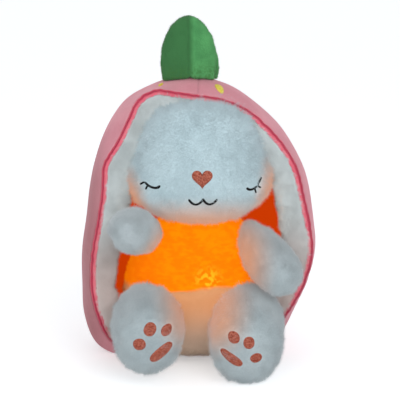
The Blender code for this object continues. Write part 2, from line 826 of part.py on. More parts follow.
def ear_form(name, side, grow=0.0):
    root = ear_root(side)

    def path(share):
        out = EAR_TIP_OUT * share + EAR_BULGE * math.sin(math.pi * share**EAR_BULGE_SHARE)
        return root + Vector((side * out, -EAR_TIP_FORWARD * share, -EAR_LENGTH * share))

    halves = (EAR_HALF_BREADTH, EAR_HALF_THICKNESS)
    rings = limb_rings(path, DEEP, *halves, EAR_FULLNESS_SHARES, EAR_BLUNTNESS, grow)
    return loft(name, rings, WHITE_PLUSH)


def swung(piece, pivot, axis, degrees):
    """A cutter turned about a pivot."""
    turn = Matrix.Rotation(math.radians(degrees), 4, axis)
    piece.data.transform(Matrix.Translation(pivot) @ turn @ Matrix.Translation(-pivot))
    return piece


def clear_of(piece, make_form, pivot, axis, angles):
    """Cut a piece by a larger neighbour, in each place that the neighbour takes beside it."""
    for angle in angles:
        cut(piece, swung(make_form("neighbour", RUNNING_GAP), pivot, axis, angle))
    return piece


def prism(name, outline, place, normal, up, depth, height):
    """A short column of an outline, from below a surface to above it."""
    across = up.cross(normal).normalized()
    upward = normal.cross(across).normalized()
    rings = []
    for level in (-depth, height):
        rings.append([place + across * x + upward * y + normal * level for x, y in outline])
    return loft(name, rings, BROWN)


def ellipse(length, width, tilt, count, shift=(0, 0)):
    turn = math.radians(tilt)
    points = []
    for step in range(count):
        around = math.tau * step / count
        x = length / 2 * math.cos(around)
        y = width / 2 * math.sin(around)
        across = shift[0] + x * math.cos(turn) - y * math.sin(turn)
        upward = shift[1] + x * math.sin(turn) + y * math.cos(turn)
        points.append((across, upward))
    return points


def heart():
    """A heart with its point down, from the usual curve, fitted to its width and height."""
    points = []
    for step in range(NOSE_POINTS):
        around = math.tau * step / NOSE_POINTS
        x = math.sin(around) ** 3
        y = HEART_LIFT_SHARE
        for number, share in enumerate(HEART_WAVE_SHARES, 1):
            y += share * math.cos(number * around)
        points.append((NOSE_WIDTH / 2 * x, NOSE_HEIGHT * y))
    return points


def stroke_outline(points, width):
    """The outline of a line of stitches of even width."""
    left, right = [], []
    for here, (x, y) in enumerate(points):
        before = points[max(here - 1, 0)]
        after = points[min(here + 1, len(points) - 1)]
        length = math.hypot(after[0] - before[0], after[1] - before[1])
        side_x = -(after[1] - before[1]) / length * width / 2
        side_y = (after[0] - before[0]) / length * width / 2
        left.append((x + side_x, y + side_y))
        right.append((x - side_x, y - side_y))
    return left + right[::-1]


def sewn_on(column, make_form, thickness=PATCH_THICKNESS):
    """Keep of a column what lies in a thin layer on a soft form."""
    keep(column, make_form("layer", GAP + thickness))
    return cut(column, make_form("below", GAP))


def face_column(name, outline, x, z, material):
    """A column that points straight at the face from the front."""
    place = Vector((x, HEAD_Y, z))
    column = prism(name, outline, place, -DEEP, UPWARD, 0, HEAD_HALF_DEPTH * 2)
    return repaint(column, material)


def mouth_line():
    """Two hanging arcs that meet in the middle."""
    points = []
    for step in range(MOUTH_STEPS * 2 + 1):
        share = step / MOUTH_STEPS - 1
        hang = -MOUTH_DROP * abs(math.sin(math.pi * share)) ** MOUTH_ROUND_SHARE
        points.append((MOUTH_HALF_WIDTH * share, hang))
    return points


def lid_line(side):
    """A shut eyelid: an arc that hangs, tilted up at its outer end."""
    tilt = math.radians(EYE_TILT_DEGREES) * side
    points = []
    for step in range(EYE_STEPS * 2 + 1):
        share = step / EYE_STEPS - 1
        x = EYE_HALF_WIDTH * share
        y = EYE_SAG * (share * share - 1)
        across = x * math.cos(tilt) - y * math.sin(tilt)
        upward = x * math.sin(tilt) + y * math.cos(tilt)
        points.append((across, upward))
    return points


def build_eye(name, middle, side):
    lid = lid_line(side)
    if side < 0:
        lid = lid[::-1]
    eye = face_column(name, stroke_outline(lid, STROKE), middle, EYE_Z, BLACK_THREAD)
    for root, lean in ((lid[-1], LASH_LEAN_SHARES[0]), (lid[-3], LASH_LEAN_SHARES[1])):
        tip = (root[0] + side * LASH_LENGTH * lean, root[1] - LASH_LENGTH)
        lash = stroke_outline([root, tip], LASH_STROKE)
        join(eye, face_column("lash", lash, middle, EYE_Z, BLACK_THREAD))
    return sewn_on(eye, head_form)


def build_face():
    nose = sewn_on(face_column("nose", heart(), NOSE_X, NOSE_Z, BROWN), head_form)
    mouth = face_column("mouth", stroke_outline(mouth_line(), STROKE), NOSE_X, MOUTH_Z, BLACK_THREAD)
    sewn_on(mouth, head_form)
    return [nose, mouth, build_eye("eye_left", LEFT_EYE_X, -1), build_eye("eye_right", RIGHT_EYE_X, 1)]


def build_pads(side):
    sole = RIGHT_SOLE if side > 0 else LEFT_SOLE
    radius = RIGHT_LEG_RADIUS if side > 0 else LEFT_LEG_RADIUS
    hip = Vector((side * HIP_X, HIP_Y, HIP_Z))
    ahead = (sole - hip).normalized()
    word = "right" if side > 0 else "left"

    made = []
    for name, x, y, length, width, tilt in RIGHT_PADS if side > 0 else LEFT_PADS:
        outline = ellipse(length, width, tilt, PAD_POINTS, (x, y))
        column = prism(f"{name}_{word}", outline, sole, ahead, UPWARD, radius / 2, radius / 2)
        made.append(sewn_on(repaint(column, BROWN), partial(leg_form, side=side)))
    return made


def seed_outline():
    """A drop: round above and drawn to a point below."""
    points = []
    for step in range(SEED_POINTS):
        around = math.tau * step / SEED_POINTS
        pinch = 1 - SEED_TIP_SHARE * (1 + math.sin(around)) / 2
        points.append((SEED_WIDTH / 2 * math.cos(around) * pinch, -SEED_LENGTH / 2 * math.sin(around)))
    return points


def grown_shell(name, grow):
    return shell_form(name, -grow)


def build_seeds():
    """Seeds lie square to the shell, with their tips toward the base."""
    nudge = 1 / SHELL_STEPS_ROUND
    for name, place, along in SEED_SHARES:
        here = shell_point(place, along, 0)
        round_way = shell_point(place + nudge, along, 0) - shell_point(place - nudge, along, 0)
        back_way = shell_point(place, along + nudge, 0) - shell_point(place, along - nudge, 0)
        normal = back_way.cross(round_way).normalized()
        if normal.dot(here - Vector((0, 0, SHELL_MIDDLE_Z))) < 0:
            normal.negate()
        column = prism(name, seed_outline(), here, normal, UPWARD, OVERRUN, OVERRUN)
        sewn_on(repaint(column, YELLOW), grown_shell, SEED_THICKNESS)


def leaf_pivot():
    return Vector((LEAF_X, SHELL_WIDEST_Y, SHELL_HEIGHT))


def leaf_form(name, back, grow=0.0):
    shift_y = BACK_LEAF_SHIFT_Y if back else 0
    shift_x = BACK_LEAF_SHIFT_X if back else 0
    wide = LEAF_HALF_WIDTH + (BACK_LEAF_EXTRA_WIDTH if back else 0)
    top = LEAF_TOP_Z - (BACK_LEAF_DROP if back else 0)
    low = LEAF_ROOT_Z - LEAF_HALF_WIDTH
    rings = []
    for step in range(LIMB_STEPS_ALONG + 1):
        turn = math.pi * step / LIMB_STEPS_ALONG
        share = (1 - math.cos(turn)) / 2
        swell = math.sin(turn) * between(LEAF_FULLNESS_SHARES, share)
        height = low - grow + (top - low + grow * 2) * share
        centre = Vector((LEAF_X + shift_x, LEAF_Y + shift_y, height))
        if step in (0, LIMB_STEPS_ALONG):
            rings.append([centre])
            continue
        ring = []
        for spot in range(LIMB_STEPS_ROUND + 2):
            around = math.tau * spot / (LIMB_STEPS_ROUND + 2)
            x = (wide * swell + grow) * spread(math.cos(around), LEAF_SECTION)
            y = (LEAF_HALF_DEPTH * swell + grow) * spread(math.sin(around), LEAF_SECTION)
            ring.append(centre + Vector((x, y, 0)))
        rings.append(ring)
    return loft(name, rings, GREEN)


def build_leaves():
    front = leaf_form("leaf_front", False)
    back = leaf_form("leaf_back", True)
    cut(back, leaf_form("front_space", False, GAP))
    for leaf in (front, back):
        clear_of(leaf, grown_shell, leaf_pivot(), "X", (0, -LEAF_SWAY_DEGREES, LEAF_SWAY_DEGREES))
    return front, back


def dome_profile(radius, front, back):
    """Half of the outline of a long dome, from its tip back to its full radius."""
    points = []
    for step in range(DOME_STEPS + 1):
        turn = math.pi / 2 * step / DOME_STEPS
        points.append((radius * math.sin(turn), back - (back - front) * math.cos(turn)))
    return points


def lamp_levels():
    """Where the lamp's inner pieces sit along its axis."""
    bezel_back = CASE_FRONT_Y - GAP
    flange_front = bezel_back + GAP
    switch_front = BOARD_Y - GAP - SWITCH_HEIGHT
    return {
        "bezel_front": bezel_back - BEZEL_THICKNESS,
        "bezel_back": bezel_back,
        "flange_front": flange_front,
        "flange_back": flange_front + DOME_FLANGE,
        "ledge": BOARD_Y + BOARD_THICKNESS + GAP,
        "switch_front": switch_front,
        "plunger_front": switch_front - PLUNGER_OUT,
        "deck_back": DECK_Y + DECK_THICKNESS,
        "door_front": CASE_BACK_Y - DOOR_THICKNESS,
    }


def build_case(axis, at):
    """A round tub with a deck across it: the board sits before the deck, the cells behind it."""
    inner = CASE_RADIUS - CASE_WALL
    profile = (
        (0, DECK_Y),
        (inner - LEDGE_WIDTH, DECK_Y),
        (inner - LEDGE_WIDTH, at["ledge"]),
        (inner, at["ledge"]),
        (inner, CASE_FRONT_Y),
        (CASE_RADIUS, CASE_FRONT_Y),
        (CASE_RADIUS, CASE_BACK_Y),
        (inner, CASE_BACK_Y),
        (inner, at["deck_back"]),
        (0, at["deck_back"]),
    )
    case = turned("lamp_case", profile, axis, WHITE_PLASTIC)
    boss_at = axis - Vector((0, 0, BOSS_DROP))
    boss_end = at["door_front"] - GAP
    boss_front = DECK_Y + DECK_THICKNESS / 2
    boss_profile = ((0, boss_front), (BOSS_RADIUS, boss_front), (BOSS_RADIUS, boss_end), (0, boss_end))
    join(case, turned("boss", boss_profile, boss_at, WHITE_PLASTIC, ROD_SIDES))
    bore = SCREW_RADIUS + RUNNING_GAP
    bore_front = CASE_BACK_Y - SCREW_LENGTH - RUNNING_GAP
    bore_back = boss_end + OVERRUN
    bore_profile = ((0, bore_front), (bore, bore_front), (bore, bore_back), (0, bore_back))
    cut(case, turned("bore", bore_profile, boss_at, WHITE_PLASTIC, ROD_SIDES))
    hole = WIRE_RADIUS + RUNNING_GAP
    hole_profile = (
        (0, DECK_Y - OVERRUN),
        (hole, DECK_Y - OVERRUN),
        (hole, at["deck_back"] + OVERRUN),
        (0, at["deck_back"] + OVERRUN),
    )
    cut(case, turned("hole", hole_profile, axis + wire_shift(), WHITE_PLASTIC, PIN_SIDES))
    return case


def wire_shift():
    """How far the lead lies from the lamp's axis: just outside the right contact."""
    return Vector((CELL_LENGTH / 2 + GAP * 2 + CONTACT_THICKNESS + WIRE_RADIUS, 0, 0))


def build_lights(axis, at):
    """The board with its lights and its push switch, and the lead to the cells."""
    board_back = BOARD_Y + BOARD_THICKNESS
    board_profile = ((0, BOARD_Y), (BOARD_RADIUS, BOARD_Y), (BOARD_RADIUS, board_back), (0, board_back))
    turned("led_board", board_profile, axis, BOARD_GREEN)
    led_back = BOARD_Y - GAP
    for number in range(LED_COUNT):
        turn = math.tau * (number + 1 / 2) / LED_COUNT
        place = axis + Vector((math.cos(turn), 0, math.sin(turn))) * LED_RING_RADIUS
        profile = dome_profile(LED_RADIUS, led_back - LED_HEIGHT, led_back - LED_HEIGHT / 2)
        profile += [(LED_RADIUS, led_back), (0, led_back)]
        turned(f"led_{number + 1}", profile, place, LED_AMBER, LED_SIDES)
    half = SWITCH_SIDE / 2
    switch = box(
        "switch_body",
        (-half, at["switch_front"], LAMP_Z - half),
        (half, BOARD_Y - GAP, LAMP_Z + half),
        DARK_PLASTIC,
    )
    bore = PLUNGER_RADIUS + RUNNING_GAP
    bore_back = at["switch_front"] + PLUNGER_IN + PRESS_TRAVEL + RUNNING_GAP
    bore_front = at["switch_front"] - OVERRUN
    bore_profile = ((0, bore_front), (bore, bore_front), (bore, bore_back), (0, bore_back))
    cut(switch, turned("bore", bore_profile, axis, DARK_PLASTIC, ROD_SIDES))
    plunger_back = at["switch_front"] + PLUNGER_IN
    plunger_profile = (
        (0, at["plunger_front"]),
        (PLUNGER_RADIUS, at["plunger_front"]),
        (PLUNGER_RADIUS, plunger_back),
        (0, plunger_back),
    )
    plunger = turned("switch_plunger", plunger_profile, axis, WHITE_PLASTIC, ROD_SIDES)
    wire_front = at["ledge"]
    wire_profile = ((0, wire_front), (WIRE_RADIUS, wire_front), (WIRE_RADIUS, WIRE_END_Y), (0, WIRE_END_Y))
    turned("battery_lead", wire_profile, axis + wire_shift(), WIRE_RED, WIRE_SIDES)
    return plunger


def build_dome(axis, at):
    """The bezel and the clear dome behind the belly, whose stem presses the switch."""
    lip = CASE_RADIUS - CASE_WALL - GAP
    bezel_profile = (
        (BEZEL_OPENING, at["bezel_front"]),
        (CASE_RADIUS, at["bezel_front"]),
        (CASE_RADIUS, at["bezel_back"]),
        (lip, at["bezel_back"]),
        (lip, at["bezel_back"] + BEZEL_LIP),
        (lip - BEZEL_LIP_WALL, at["bezel_back"] + BEZEL_LIP),
        (lip - BEZEL_LIP_WALL, at["bezel_back"]),
        (BEZEL_OPENING, at["bezel_back"]),
    )
    ring_body("lamp_bezel", bezel_profile, axis, WHITE_PLASTIC)
    outer = dome_profile(DOME_RADIUS, DOME_FRONT_Y, at["flange_front"])
    inner_radius = DOME_RADIUS - DOME_WALL
    inner_front = DOME_FRONT_Y + DOME_WALL
    inside = dome_profile(inner_radius, inner_front, at["flange_back"])[:0:-1]
    stem_turn = math.asin(STEM_RADIUS / inner_radius)
    stem_front = at["flange_back"] - (at["flange_back"] - inner_front) * math.cos(stem_turn)
    stem_back = at["plunger_front"] - GAP
    stem = [(STEM_RADIUS, stem_front), (STEM_RADIUS, stem_back), (0, stem_back)]
    flange = [(DOME_FLANGE_RADIUS, at["flange_front"]), (DOME_FLANGE_RADIUS, at["flange_back"])]
    return turned("press_dome", outer + flange + inside + stem, axis, CLEAR_PLASTIC)


def ring_body(name, profile, centre, material):
    """A body of revolution with an opening along its axis."""
    work = bmesh.new()
    loops = []
    for side in range(TUBE_SIDES):
        turn = math.tau * side / TUBE_SIDES
        out = Vector((math.cos(turn), 0, math.sin(turn)))
        loop = []
        for radius, along in profile:
            loop.append(work.verts.new(centre + out * radius + DEEP * along))
        loops.append(loop)
    for side, loop in enumerate(loops):
        after = loops[(side + 1) % TUBE_SIDES]
        for here in range(len(profile)):
            there = (here + 1) % len(profile)
            work.faces.new((loop[here], loop[there], after[there], after[here]))
    return finish_mesh(name, work, material)


def along_x(piece, centre):
    """Turn a body made along Y so that it lies along X."""
    turn = Matrix.Translation(centre) @ Matrix.Rotation(-math.pi / 2, 4, "Z") @ Matrix.Translation(-centre)
    piece.data.transform(turn)
    return piece


def build_cells(axis, at):
    """The cells side by side, each the other way round, with a contact strip at each end."""
    middle_y = at["deck_back"] + GAP + CELL_RADIUS
    body = CELL_LENGTH / 2
    for number in range(CELL_COUNT):
        place = axis + Vector((0, middle_y, (number - (CELL_COUNT - 1) / 2) * CELL_SPACING))
        way = -1 if number % 2 else 1
        profile = (
            (0, -body * way),
            (CELL_RADIUS, -body * way),
            (CELL_RADIUS, (body - CELL_BUTTON) * way),
            (CELL_BUTTON_RADIUS, (body - CELL_BUTTON) * way),
            (CELL_BUTTON_RADIUS, body * way),
            (0, body * way),
        )
        cell = turned(f"cell_{number + 1}", profile, place, CELL_SLEEVE, ROD_SIDES)
        along_x(cell, place)
    for name, side in (("contact_left", -1), ("contact_right", 1)):
        near = side * (body + GAP)
        far = near + side * CONTACT_THICKNESS
        low = (min(near, far), at["deck_back"] + GAP, LAMP_Z - CONTACT_HALF_HEIGHT)
        high = (max(near, far), at["deck_back"] + GAP + CONTACT_DEPTH, LAMP_Z + CONTACT_HALF_HEIGHT)
        box(name, low, high, STEEL)


def build_door(axis, at):
    """The battery door, flush with the case's back, and the screw that holds it."""
    radius = CASE_RADIUS - CASE_WALL - GAP
    profile = ((0, at["door_front"]), (radius, at["door_front"]), (radius, CASE_BACK_Y), (0, CASE_BACK_Y))
    door = turned("battery_door", profile, axis, WHITE_PLASTIC)
    place = axis - Vector((0, 0, BOSS_DROP))
    hole = SCREW_RADIUS + GAP
    hole_profile = (
        (0, at["door_front"] - OVERRUN),
        (hole, at["door_front"] - OVERRUN),
        (hole, CASE_BACK_Y + OVERRUN),
        (0, CASE_BACK_Y + OVERRUN),
    )
    cut(door, turned("hole", hole_profile, place, WHITE_PLASTIC, ROD_SIDES))
    head_front = CASE_BACK_Y + GAP
    screw_profile = (
        (0, CASE_BACK_Y - SCREW_LENGTH),
        (SCREW_RADIUS, CASE_BACK_Y - SCREW_LENGTH),
        (SCREW_RADIUS, head_front),
        (SCREW_HEAD_RADIUS, head_front),
        (SCREW_HEAD_RADIUS, head_front + SCREW_HEAD),
        (0, head_front + SCREW_HEAD),
    )
    screw = turned("door_screw", screw_profile, place, STEEL, ROD_SIDES)
    for across, tall in ((SCREW_HEAD_RADIUS * 2, SCREW_SLOT), (SCREW_SLOT, SCREW_HEAD_RADIUS * 2)):
        low = place + Vector((-across / 2, head_front + SCREW_HEAD / 2, -tall / 2))
        high = place + Vector((across / 2, head_front + SCREW_HEAD * 2, tall / 2))
        cut(screw, box("slot", low, high, STEEL))
    return door, screw


def pocket(axis, at):
    """The room for the lamp in the torso, open at the back."""
    radius = CASE_RADIUS + RUNNING_GAP
    front = at["bezel_front"] - RUNNING_GAP
    dome = dome_profile(DOME_RADIUS + POCKET_GAP, DOME_FRONT_Y - POCKET_GAP, front)
    end = TORSO_HALF_DEPTH * 2
    return turned("pocket", dome + [(radius, front), (radius, end), (0, end)], axis, WHITE_PLUSH)


def nodded_head(name, grow):
    return swung(head_form(name, grow), NECK, "X", NOD_DEGREES)


def build_arm(word, side, hip, shoulder):
    """An arm, cut by its neighbours in each place that they and the arm take."""
    turn = ARM_SWING_DEGREES * side
    swing = (0, turn / 2, turn)
    own_leg = partial(leg_form, side=side)

    def lifted_leg(name, grow):
        return swung(own_leg(name, grow), hip, "X", -LEG_LIFT_DEGREES)

    arm = arm_form(f"arm_{word}", side)
    for neighbour in (torso_form, head_form, nodded_head, own_leg, lifted_leg):
        clear_of(arm, neighbour, shoulder, "X", swing)
    return arm


def build_ear(word, side):
    """An ear, cut by the head, and kept inside the lining wherever head and ear swing."""
    root = ear_root(side)
    swing = (0, EAR_SWING_DEGREES / 2, EAR_SWING_DEGREES)
    ear = clear_of(ear_form(f"ear_{word}", side), head_form, root, "X", swing)
    for nod in (0, -NOD_DEGREES):
        for angle in swing:
            room = shell_form("room", SHELL_LINED + EAR_ROOM)
            keep(ear, swung(swung(room, NECK, "X", nod), root, "X", angle))
    return ear


def hang(name, pivot, pieces, carrier=None):
    """Put moving pieces under an empty on their joint's axis, with their origins on it too."""
    hinge = bpy.data.objects.new(name, None)
    bpy.context.scene.collection.objects.link(hinge)
    hinge.empty_display_size = AXIS_MARK
    hinge.location = pivot
    if carrier:
        hinge.parent = carrier
        hinge.location = pivot - carrier.matrix_world.translation
    bpy.context.view_layer.update()
    for piece in pieces:
        piece.data.transform(Matrix.Translation(-pivot))
        piece.parent = hinge
    return hinge


# Build: larger forms first, then what is cut by them

shell = build_shell()
zip_slider, zip_pull, pull_pivot = build_slider()
leaves = build_leaves()
build_seeds()

torso = torso_form("torso")
head = clear_of(head_form("head"), torso_form, NECK, "X", (0, -NOD_DEGREES))
lamp_axis = Vector((0, 0, LAMP_Z))
levels = lamp_levels()
cut(torso, pocket(lamp_axis, levels))
build_case(lamp_axis, levels)
plunger = build_lights(lamp_axis, levels)
press_dome = build_dome(lamp_axis, levels)
build_cells(lamp_axis, levels)
door_and_screw = build_door(lamp_axis, levels)
head_axis = hang("head_axis", NECK, [head] + build_face())

for word, side in (("left", -1), ("right", 1)):
    hip = Vector((side * HIP_X, HIP_Y, HIP_Z))
    shoulder = Vector((side * SHOULDER_X, SHOULDER_Y, SHOULDER_Z))
    leg = leg_form(f"leg_{word}", side=side)
    clear_of(leg, torso_form, hip, "X", (0, LEG_LIFT_DEGREES / 2, LEG_LIFT_DEGREES))
    arm = build_arm(word, side, hip, shoulder)
    ear = build_ear(word, side)
    fold_x = side * SHELL_HALF_WIDTH * max(side * row[0] for row in SHELL_SHARES)
    flap = [shell[f"flap_{word}"], shell[f"flap_{word}_lining"], shell[f"zip_tape_{word}"]]
    hang(f"leg_{word}_axis", hip, [leg] + build_pads(side))
    hang(f"arm_{word}_axis", shoulder, [arm])
    hang(f"ear_{word}_axis", ear_root(side), [ear], head_axis)
    hang(f"flap_{word}_axis", Vector((fold_x, FLAP_SEAM_Y, SHELL_MIDDLE_Z)), flap)

hang("leaf_axis", leaf_pivot(), leaves)
hang("press_axis", lamp_axis, [press_dome])
hang("switch_axis", lamp_axis, [plunger])
hang("door_axis", lamp_axis, door_and_screw)
slider_axis = hang("slider_axis", Vector((0, BASE_RIM_Y, pull_pivot.z)), [zip_slider])
hang("pull_axis", pull_pivot, [zip_pull], slider_axis)

for piece in bpy.context.scene.objects:
    if piece.type == "MESH":
        piece.data.shade_smooth()
        piece.data.set_sharp_from_angle(angle=math.radians(SHARP_ANGLE_DEGREES))
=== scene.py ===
import math
import bpy
import json
import numpy as np
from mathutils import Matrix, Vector, kdtree, noise
from mathutils.bvhtree import BVHTree

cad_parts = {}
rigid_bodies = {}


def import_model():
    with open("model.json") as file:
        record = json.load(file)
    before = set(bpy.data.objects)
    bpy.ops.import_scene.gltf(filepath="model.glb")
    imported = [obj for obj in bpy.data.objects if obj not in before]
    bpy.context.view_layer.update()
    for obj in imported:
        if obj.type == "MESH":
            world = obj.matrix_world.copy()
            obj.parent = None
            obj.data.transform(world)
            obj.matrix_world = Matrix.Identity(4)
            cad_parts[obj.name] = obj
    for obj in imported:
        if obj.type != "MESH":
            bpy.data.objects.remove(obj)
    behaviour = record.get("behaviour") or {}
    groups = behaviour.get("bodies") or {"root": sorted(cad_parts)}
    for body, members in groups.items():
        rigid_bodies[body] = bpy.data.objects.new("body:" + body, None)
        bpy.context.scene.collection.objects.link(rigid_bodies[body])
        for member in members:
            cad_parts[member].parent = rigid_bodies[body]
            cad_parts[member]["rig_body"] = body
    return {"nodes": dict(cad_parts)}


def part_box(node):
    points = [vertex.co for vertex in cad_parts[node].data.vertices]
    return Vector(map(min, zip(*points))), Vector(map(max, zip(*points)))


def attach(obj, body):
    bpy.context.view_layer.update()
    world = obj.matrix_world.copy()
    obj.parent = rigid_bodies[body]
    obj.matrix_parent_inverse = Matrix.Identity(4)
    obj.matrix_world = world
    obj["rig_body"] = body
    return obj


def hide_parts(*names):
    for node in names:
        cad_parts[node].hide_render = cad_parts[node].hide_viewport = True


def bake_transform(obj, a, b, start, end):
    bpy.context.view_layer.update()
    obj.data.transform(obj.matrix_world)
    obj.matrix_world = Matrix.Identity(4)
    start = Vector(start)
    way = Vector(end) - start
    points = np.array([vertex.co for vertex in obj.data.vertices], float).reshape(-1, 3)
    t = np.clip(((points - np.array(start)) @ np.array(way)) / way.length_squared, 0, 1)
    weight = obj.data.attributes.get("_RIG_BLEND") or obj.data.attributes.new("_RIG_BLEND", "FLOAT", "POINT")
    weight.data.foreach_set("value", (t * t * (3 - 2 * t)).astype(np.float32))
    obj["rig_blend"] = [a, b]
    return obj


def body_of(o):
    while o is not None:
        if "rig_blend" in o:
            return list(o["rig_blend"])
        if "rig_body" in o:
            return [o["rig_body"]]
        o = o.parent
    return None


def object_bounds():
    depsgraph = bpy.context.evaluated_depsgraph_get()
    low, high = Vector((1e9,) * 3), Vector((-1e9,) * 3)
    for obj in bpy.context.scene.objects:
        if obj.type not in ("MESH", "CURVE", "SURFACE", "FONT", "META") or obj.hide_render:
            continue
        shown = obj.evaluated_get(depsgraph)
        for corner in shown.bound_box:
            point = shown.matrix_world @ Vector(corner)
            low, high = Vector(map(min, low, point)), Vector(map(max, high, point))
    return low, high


# Plush night light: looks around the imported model. Metres, +Z up, front to -Y.

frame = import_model()
nodes = frame["nodes"]
cadLow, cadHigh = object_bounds()
rng = np.random.default_rng(417)
noise.seed_set(417)  # noise vectors start from the clock without this
print("frame loaded:", len(nodes), "nodes")


# Colours and shader maths

def tone(red, green, blue):  # a colour as an image shows it, 0 to 255
    return tuple((c / 255) ** 2.2 for c in (red, green, blue)) + (1.0,)


class Field:  # a number or colour that changes over a surface
    def __init__(self, finish, made, output):
        self.finish = finish
        self.made = made
        self.output = made.outputs[output]

    def pick(self, output):
        return Field(self.finish, self.made, output)

    def maths(self, operation, first, second=0.0, clamp=False):
        settings = {"operation": operation, "use_clamp": clamp}
        return self.finish.node("ShaderNodeMath", settings, {0: first, 1: second})

    def __add__(self, other):
        return self.maths("ADD", self, other)

    def __mul__(self, other):
        return self.maths("MULTIPLY", self, other)

    def __sub__(self, other):
        return self.maths("SUBTRACT", self, other)

    def __rsub__(self, other):
        return self.maths("SUBTRACT", other, self)

    __radd__ = __add__
    __rmul__ = __mul__

    def size(self):
        return self.maths("ABSOLUTE", self)

    def clamp(self):
        return self.maths("ADD", self, 0.0, True)

    def between(self, low, high):  # 0 at low, 1 at high, eased
        ends = {"Value": self, "From Min": low, "From Max": high}
        return self.finish.node("ShaderNodeMapRange", {"interpolation_type": "SMOOTHSTEP"}, ends)


class Finish:  # one material
    def __init__(self, name, fixed):
        self.material = bpy.data.materials.new(name)
        self.material.use_nodes = True
        self.tree = self.material.node_tree
        self.shader = self.tree.nodes["Principled BSDF"]
        for label, value in fixed.items():
            self.shader.inputs[label].default_value = value
        self.at = self.node("ShaderNodeTexCoord", {}, {}, "Object")
        self.x = self.node("ShaderNodeSeparateXYZ", {}, {"Vector": self.at})
        self.y = self.x.pick("Y")
        self.z = self.x.pick("Z")

    def node(self, kind, settings, inputs, output=0):
        made = self.tree.nodes.new(kind)
        for label, value in settings.items():
            setattr(made, label, value)
        for label, value in inputs.items():
            if isinstance(value, Field):
                self.tree.links.new(value.output, made.inputs[label])
            else:
                made.inputs[label].default_value = value
        return Field(self, made, output)

    def noise(self, scale, detail=2.0, at=None):
        inputs = {"Vector": at or self.at, "Scale": scale, "Detail": detail}
        return self.node("ShaderNodeTexNoise", {}, inputs)

    def stretched(self, x, y, z):  # the place, with each axis scaled
        return self.node("ShaderNodeVectorMath", {"operation": "MULTIPLY"}, {0: self.at, 1: (x, y, z)})

    def mix(self, mask, first, second):
        inputs = {0: mask, 6: first, 7: second}
        return self.node("ShaderNodeMix", {"data_type": "RGBA"}, inputs, 2)

    def bump(self, height, strength, distance):
        inputs = {"Height": height, "Strength": strength, "Distance": distance}
        return self.node("ShaderNodeBump", {}, inputs)

    def show(self, **fields):
        labels = {"colour": "Base Color", "rough": "Roughness", "light": "Emission Color", "normal": "Normal"}
        for word, field in fields.items():
            self.tree.links.new(field.output, self.shader.inputs[labels[word]])
        return self.material


# Where the lamp's light reaches each white piece: places, how they stretch, near and far reach, strength
glow = {
    "lapHeight": 0.0735,
    "lapWaver": 0.009,
    "lapEdge": 0.0022,
    "head": (
        ((0.0, -0.050, 0.106), (0.48, 0.55, 1.0), 0.020, 0.060, 0.95),
        ((-0.066, -0.022, 0.148), (1.0, 0.7, 0.7), 0.006, 0.030, 0.95),
        ((0.066, -0.022, 0.154), (1.0, 0.7, 0.6), 0.006, 0.030, 0.90),
    ),
    "arm_left": (((-0.034, -0.050, 0.106), (1.0, 0.8, 0.9), 0.006, 0.036, 0.8),),
    "arm_right": (((0.028, -0.050, 0.100), (1.0, 0.6, 0.7), 0.008, 0.042, 0.85),),
    "leg": (((0.0, -0.060, 0.066), (0.9, 0.45, 0.9), 0.012, 0.046, 0.85),),
    "ear": (
        ((-0.056, -0.010, 0.135), (1.0, 0.6, 0.45), 0.004, 0.026, 0.9),
        ((0.056, -0.010, 0.135), (1.0, 0.6, 0.45), 0.004, 0.026, 0.9),
    ),
}
# The first of these is the pile's colour under the lamp's painted glow, the second the painted glow's own
# light.
glowPeach, amber, black = tone(206, 142, 100), tone(255, 128, 20), (0.0, 0.0, 0.0, 1.0)


# The white pieces are one plush; their tones differ from piece to piece as painted light and shade: the ears
# lighter, the arms and legs darker than the head.
plush = {
    "shades": {  # each white piece's darker and lighter shade
        "head": (tone(156, 175, 180), tone(178, 197, 202)),
        "arm_left": (tone(152, 162, 164), tone(172, 180, 182)),
        "arm_right": (tone(152, 162, 164), tone(172, 180, 182)),
        "leg": (tone(146, 157, 160), tone(166, 176, 178)),
        "ear": (tone(184, 188, 184), tone(206, 208, 203)),
    },
    "fixed": {
        "Roughness": 0.95,
        "Specular IOR Level": 0.15,
        "Emission Strength": 1.0,
        "Sheen Weight": 0.9,
        "Sheen Roughness": 0.5,
    },
    "patchShare": 0.65,
    "strandShare": 0.35,
    "through": 0.17,  # a little of the lamp's light comes through all the pile
    "glowLight": 0.26,
}


def whitePlush(name):
    finish = Finish(f"whitePlush_{name}", plush["fixed"])
    shade, light = plush["shades"][name]
    patches = finish.noise(38.0, 3.0).between(0.3, 0.7)
    strands = finish.noise(520.0, 2.0).between(0.35, 0.65)
    base = finish.mix(patches * plush["patchShare"] + strands * plush["strandShare"], shade, light)
    # Painted glow: near the belly the pile's colour turns peach and it gets amber emission, where the lamp's
    # light would fall on it.
    glowReach = 0.0
    for place, stretch, near, far, strength in glow[name]:
        shifted = finish.node("ShaderNodeVectorMath", {"operation": "SUBTRACT"}, {0: finish.at, 1: place})
        flat = finish.node("ShaderNodeVectorMath", {"operation": "MULTIPLY"}, {0: shifted, 1: stretch})
        distance = finish.node("ShaderNodeVectorMath", {"operation": "LENGTH"}, {0: flat}, "Value")
        glowReach = distance.between(far, near) * strength + glowReach
    glowReach = glowReach.clamp()
    base = finish.mix(glowReach, base, glowPeach)
    through = finish.mix(plush["through"], black, base)
    lit = finish.mix(glowReach * glowReach * plush["glowLight"], through, amber)
    return finish.show(colour=base, light=lit, normal=finish.bump(strands, 0.25, 0.0006))


